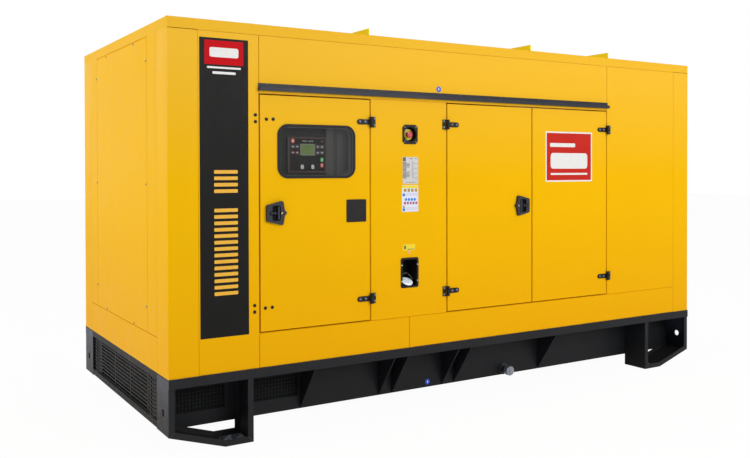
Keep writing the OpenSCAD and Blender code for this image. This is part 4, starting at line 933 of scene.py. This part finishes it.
WEB_IN = 0.198
FLANKS = ((0.205, 0.309), (1.403, 1.474))
FLANK_RISE = 0.012
SHEET_T = 0.004


def inlet_lining_and_shade():
    """A folded dark sheet close behind each end louvre, and a pan under each air bay: a guessed foam
    lining that is also painted shade for the shaded inside of the skid, which the white floor would
    otherwise show.
    """
    louvre_low, louvre_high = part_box("skid_end_louvres")
    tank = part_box("base_tank")
    near, far = FRONT + WEB_IN, BACK - WEB_IN
    folds, behind, fold_deep, sheet, clear = 18, 0.058, 0.016, 0.002, 0.006
    shape = Shape()
    for sign, edge, inner in ((1, louvre_low.x, tank[0].x), (-1, louvre_high.x, tank[1].x)):
        path = [(edge + sign * (behind + (fold_deep if k % 2 else 0)),
                 near + (far - near) * k / folds) for k in range(folds + 1)]
        outline = path + [(x + sign * sheet, y) for x, y in reversed(path)]
        shape.at(Matrix()).plate(outline, louvre_low.z + clear, louvre_high.z - clear, FOAM)
        start, stop = edge + sign * 0.08, inner - sign * 0.01
        shape.at(Matrix.Translation(((start + stop) / 2, 0, louvre_low.z + 0.004)))
        shape.plate(rounded(abs(stop - start), far - near - 2 * clear, 0.01, 3), 0, sheet, FOAM)
    shape.object("inlet_lining_and_shade", "set")


inlet_lining_and_shade()


def flank_plates():
    """Plain plates against the back of the slotted flanks that face the door side."""
    low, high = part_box("skid_end_louvres")
    bottom, top = low.z + 0.042, high.z - 0.044
    shape = Shape()
    for sign, edge in ((1, low.x), (-1, high.x)):
        for start, stop in FLANKS:
            corners = [(edge + sign * (depth + back), FRONT + d)
                       for d, depth in ((start, FLANK_RISE), (stop, 0.0))
                       for back in (SHEET_T + 0.0005, SHEET_T + 0.002)]
            order = (corners[0], corners[2], corners[3], corners[1])
            shape.skin([[(x, y, z) for x, y in order] for z in (bottom, top)], FLANK)
    shape.object("flank_plates", "set", "skid_black")


flank_plates()

# ---- Skid

FOOT = {"long": 0.464, "rise": 0.095, "slope": 0.305, "lip": 0.032, "sheet": 0.008}
FOOT_DEEP = 0.19
RAIL_TALL = 0.05


def foot_corners(lip):
    """Outer and inner corners of a foot's flange: slope, sole and inner post."""
    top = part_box("skid_top_rails")[1].z - FOOT["sheet"]
    rise, slope, long = FOOT["rise"], FOOT["slope"], FOOT["long"]
    sole = math.hypot(rise, slope)
    inner_z = rise + lip * (sole - rise) / slope
    inner_x = (lip * sole - (lip - rise) * slope) / rise
    start = FOOT["sheet"]
    fall = (inner_z - lip) / (inner_x - lip)
    edge = 0.0005
    return ([(start, rise - start * rise / slope + edge), (slope, edge), (long - edge, edge),
             (long - edge, top)],
            [(start, inner_z + (lip - start) * fall), (inner_x, lip), (long - lip, lip),
             (long - lip, top)])


def foot_places():
    """The side, end and outer corner of each foot."""
    for side in (-1, 1):
        for end in (-1, 1):
            x = LEFT if end < 0 else RIGHT
            yield side, end, x, FRONT if side < 0 else BACK


def foot_flanges():
    """The inner flange of each foot's channel, its welds and the worn paint on its sole."""
    bead_r, worn_t = 0.0013, 0.0005
    shape = Shape()
    outer, inner = foot_corners(FOOT["lip"])
    outline = outer + inner[::-1]
    lip, sheet = FOOT["lip"], FOOT["sheet"]
    rail_low = BASE - RAIL_TALL
    beads = (((0.002, rail_low), (lip - 0.002, rail_low)),
             ((FOOT["long"] - lip, rail_low), (FOOT["long"], rail_low)),
             ((0.001, FOOT["rise"]), (lip, FOOT["rise"] + 0.0235)),
             ((FOOT["long"] - 0.001, 0.001), (FOOT["long"] - lip, lip)))
    for side, end, x, y in foot_places():
        shape.at(Matrix(((-end, 0, 0, x), (0, 0, 1, y), (0, 1, 0, 0), (0, 0, 0, 1))))
        back = -side * (FOOT_DEEP - sheet)
        low, high = sorted((back, back - side * (sheet - 0.001)))
        shape.plate(outline, low, high, BLACK)
        face = side * 0.0004
        for a, b in beads:
            shape.tube([(*a, face), (*b, face)], bead_r, WELD)
        worn = [(u, -side * v, sheet + 0.0003) for u, v in
                ((0.312, 0.03), (0.45, 0.03), (0.452, 0.15), (0.318, 0.155))]
        loops = [[(x - end * u, y + v, z + up) for u, v, z in worn] for up in (0.0, worn_t)]
        shape.at(Matrix()).skin(loops, WORN)
    shape.object("foot_flanges", "set", "skid_black")


foot_flanges()


def rail_ledge_highlight():
    """A thin plate on the upper face of each skid rail's proud lip, coloured as a painted highlight
    along the rail's top edge.
    """
    low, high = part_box("skid_top_rails")
    shape = Shape()
    middle = (low.x + high.x) / 2
    for side, y in ((-1, FRONT), (1, BACK)):
        proud = abs((low.y if side < 0 else high.y) - y) - 0.001
        shape.at(Matrix.Translation((middle, y + side * (0.0008 + proud / 2), high.z)))
        shape.plate(rounded(high.x - low.x - 0.002, proud, 0.001, 2), 0, 0.0005, LEDGE_HIGHLIGHT)
    shape.object("rail_ledge_highlight", "set", "skid_black")


rail_ledge_highlight()


def coupling_plug():
    """A bright cap with a hexagon boss over the outer end of the tank coupling."""
    shape = Shape(on_node("tank_coupling"))
    shape.turned([(AXIS_R, -0.033), (0.0315, -0.033), (0.0315, -0.0035), (0.0285, 0.0004),
                  (AXIS_R, 0.0006)], PLUG, 36)
    shape.plate(circle(0.015, 6), 0.0004, 0.005, PLUG, 0.0012)
    shape.object("coupling_plug", "set", "bright_metal")


coupling_plug()

# ---- Intake meshes

WINDOWS = ((0.1, 0.275), (0.545, 0.275))
WIRE = 0.0019
WEAVE = 0.9     # how far a wire bends out over each crossing, in its own radii
MESH_PITCH = (0.0202, 0.0218)


def woven_meshes():
    """Woven wire in the four intake windows, each inside a flat frame."""
    low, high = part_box("intake_meshes")
    edge = 0.004
    bottom, tall = low.z + edge, high.z - low.z - 2 * edge
    shape = Shape()
    for sign, face in ((-1, low.y), (1, high.y)):
        for s, w in WINDOWS:
            shape.at(face_place(LEFT + s + w / 2, bottom + tall / 2, face - sign * 0.002, sign))
            across, up = round(w / MESH_PITCH[0]), round(tall / MESH_PITCH[1])
            for count, other, length, span, swap in ((across, up, tall, w, False),
                                                     (up, across, w, tall, True)):
                step = length / other
                for k in range(1, count):
                    offset = span * k / count - span / 2
                    points = []
                    for j in range(2 * other + 1):
                        along = j * step / 2 - length / 2
                        wave = math.cos(math.pi * (j / 2 + k)) * WIRE * WEAVE
                        wave = wave if swap else -wave
                        points.append((along, offset, wave) if swap else (offset, along, wave))
                    shape.tube(points, WIRE, MESH_WIRE, 5)
            # A dark sheet just behind each mesh: painted shade of the skid's inside.
            shape.plate(rounded(w + 0.002, tall + 0.002, 0.001, 2), -0.012, -0.01, MESH_SHADE)
            shape.ring(rounded(w + 2 * edge, tall + 2 * edge, 0.001, 2),
                       rounded(w - 0.004, tall - 0.004, 0.001, 2), -0.0015, 0.0018, BLACK)
    made = shape.object("woven_meshes", "set", "skid_black")
    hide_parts("intake_meshes")


woven_meshes()

# ---- Sound lining inside the canopy

LINING_IN = 0.0435
DOOR_LINING = 0.046
WALL_LINING = 0.05
DOOR_FOAM = 0.0035
WALL_FOAM = 0.006


def door_foam(number):
    """A foam sheet over the lining of one door, cut out round the window."""
    low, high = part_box("door_%d_leaf" % number)
    wide = high.x - low.x - 2 * LINING_IN
    tall = high.z - low.z - 2 * LINING_IN
    cx, cz = (low.x + high.x) / 2, (low.z + high.z) / 2
    shape = Shape(face_place(cx, cz, FRONT + DOOR_LINING, 1))
    sheet = rounded(wide, tall, 0.012)
    if number == 1:
        win_low, win_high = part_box("window_gasket")
        hole = shifted(rounded(win_high.x - win_low.x - 0.011, win_high.z - win_low.z - 0.011,
                               0.056),
                       cx - (win_low.x + win_high.x) / 2, (win_low.z + win_high.z) / 2 - cz)
        shape.ring(sheet, hole, 0, DOOR_FOAM, FOAM)
    else:
        shape.plate(sheet, 0, DOOR_FOAM, FOAM, 0.002)
        # Strips in the glowing duct grey: painted light.
        for k in (1, 2, 3):
            shape.bar(0, tall * (k / 4 - 0.5), wide - 0.01, 0.012, DUCT_GLOW, DOOR_FOAM)
    shape.object("door_%d_foam" % number, "door_%d" % number)


for door_number in (1, 2, 3):
    door_foam(door_number)


def window_reveal():
    """A dark sleeve lining the window's cut-out on both sides of the glass, glowing as painted light on
    its shaded walls.
    """
    low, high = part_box("window_glass")
    play, r = 0.0006, 0.0467
    wide, tall = high.x - low.x - play, high.z - low.z - play
    sleeve = Shape(mid_place(low, high, high.y))
    for back, front, sheet in ((-0.0355, -0.0005, 0.0015), (0.0063, 0.0172, 0.0007)):
        inner = rounded(wide - 2 * sheet, tall - 2 * sheet, r - sheet, 8)
        sleeve.ring(rounded(wide, tall, r, 8), inner, back, front, REVEAL_GLOW)
    sleeve.object("window_reveal", "door_1", "gasket_rubber")


window_reveal()


def wall_foam():
    """Foam sheets on the far wall, end walls and roof, seen through the open doors."""
    low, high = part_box("back_wall")
    mid, tall = (low.z + high.z) / 2, high.z - low.z - 0.06
    count, gap, soft = 6, 0.006, 0.003
    end_wide = BACK - FRONT - 0.44
    roof_long, roof_wide = 3.1, BACK - FRONT - 0.14
    shape = Shape(mid_place(low, high, high.y - WALL_LINING))
    wide = (high.x - low.x) / count
    for k in range(count):
        sheet = shifted(rounded(wide - gap, tall, 0.01), (k - (count - 1) / 2) * wide, 0)
        shape.plate(sheet, 0, WALL_FOAM, FOAM, soft)
    for sign, x in ((-1, LEFT + WALL_LINING), (1, RIGHT - WALL_LINING)):
        shape.at(Matrix(((0, 0, -sign, x), (1, 0, 0, (FRONT + BACK) / 2), (0, 1, 0, mid),
                         (0, 0, 0, 1))))
        shape.plate(rounded(end_wide, tall, 0.01), 0, WALL_FOAM, FOAM, soft)
    shape.at(Matrix.Translation((LEFT + 1.66, (FRONT + BACK) / 2, ROOF - 0.007)))
    shape.plate(rounded(roof_long, roof_wide, 0.02), 0, WALL_FOAM, FOAM)
    shape.object("wall_foam", "set")


wall_foam()

# ---- Floor, light and camera

STAGE = bpy.context.scene
FLOOR_WHITE = 0.965     # the share of the floor's own white that the camera sees
AMBIENT = 0.5           # how strongly the surroundings light the object


def stage_material():
    """Pale floor: mostly its own white to the camera, and enough diffuse to keep the shadow."""
    mat, tree, shader = new_material("pale_floor")
    fill(shader, {"Base Color": (0.92, 0.92, 0.92, 1), "Roughness": 0.9, "Specular IOR Level": 0})
    glow = new_node(tree, "Emission", {"Color": (1, 1, 1, 1)})
    ray = tree.nodes.new("ShaderNodeLightPath")
    share = spread(tree, ray.outputs["Is Camera Ray"], 0.0, FLOOR_WHITE, 0.0, 1.0)
    both = tree.nodes.new("ShaderNodeMixShader")
    link(tree, share, both.inputs["Fac"])
    link(tree, shader.outputs["BSDF"], both.inputs[1])
    link(tree, glow.outputs["Emission"], both.inputs[2])
    link(tree, both.outputs["Shader"], tree.nodes["Material Output"].inputs["Surface"])
    return mat


def floor():
    """A wide flat floor under the object."""
    half = 40.0
    data = bpy.data.meshes.new("floor")
    data.from_pydata([(-half, -half, 0), (half, -half, 0), (half, half, 0), (-half, half, 0)], [],
                     [(0, 1, 2, 3)])
    data.materials.append(stage_material())
    made = bpy.data.objects.new("floor", data)
    STAGE.collection.objects.link(made)


def world():
    """Even surroundings, white to the camera and in reflections and dimmer as light."""
    sky = bpy.data.worlds.new("studio")
    STAGE.world = sky
    sky.use_nodes = True
    tree = sky.node_tree
    shade = tree.nodes["Background"]
    shade.inputs["Color"].default_value = (1, 1, 1, 1)
    ray = tree.nodes.new("ShaderNodeLightPath")
    seen = ray.outputs["Is Camera Ray"]
    for name in ("Is Glossy Ray", "Is Transmission Ray"):
        add = tree.nodes.new("ShaderNodeMath")
        add.operation = "MAXIMUM"
        link(tree, seen, add.inputs[0])
        link(tree, ray.outputs[name], add.inputs[1])
        seen = add.outputs[0]
    link(tree, spread(tree, seen, AMBIENT, 1.0, 0.0, 1.0), shade.inputs["Strength"])


def soft_box(name, place, target, size, power):
    """A rectangular light at a place, turned to its target."""
    data = bpy.data.lights.new(name, "AREA")
    data.shape = "RECTANGLE"
    data.size, data.size_y = size
    data.energy = power
    lamp = bpy.data.objects.new(name, data)
    lamp.location = place
    lamp.rotation_euler = (Vector(target) - Vector(place)).to_track_quat("-Z", "Y").to_euler()
    STAGE.collection.objects.link(lamp)


VIEW_YAW = math.radians(31.778)
VIEW_PITCH = math.radians(-0.653)
VIEW_ROLL = math.radians(-0.125)
VIEW_FROM = Vector((LEFT - 1.3433, FRONT - 4.1535, BASE + 1.0583))
VIEW_LENS = 40.389
VIEW_SHIFT = -0.0653


def camera():
    """The camera recovered from the photograph's long edges."""
    ahead = Vector((math.sin(VIEW_YAW) * math.cos(VIEW_PITCH),
                    math.cos(VIEW_YAW) * math.cos(VIEW_PITCH), math.sin(VIEW_PITCH)))
    side = Vector((math.cos(VIEW_YAW), -math.sin(VIEW_YAW), 0))
    up = side.cross(ahead)
    right = side * math.cos(VIEW_ROLL) + up * math.sin(VIEW_ROLL)
    top = up * math.cos(VIEW_ROLL) - side * math.sin(VIEW_ROLL)
    data = bpy.data.cameras.new("camera")
    data.sensor_width = 36
    data.lens = VIEW_LENS
    data.shift_y = VIEW_SHIFT
    data.clip_end = 200
    eye = bpy.data.objects.new("camera", data)
    turn = Matrix((right, top, -ahead)).transposed().to_4x4()
    eye.matrix_world = Matrix.Translation(VIEW_FROM) @ turn
    STAGE.collection.objects.link(eye)
    STAGE.camera = eye


floor()
world()
soft_box("key", (2.1, -8.5, 4.0), (0.4, 0, 1.1), (5.0, 3.5), 322)
soft_box("end_high", (-8.5, 0.5, 4.6), (-2, 0, 1.4), (4.0, 3.0), 105)
soft_box("end_low", (-7.5, 0.3, 0.9), (-2, 0, 0.7), (3.5, 1.5), 86)
soft_box("top", (0.0, 0.0, 8.0), (0, 0, 0), (6.0, 5.0), 110)
camera()
STAGE.view_settings.view_transform = "Standard"
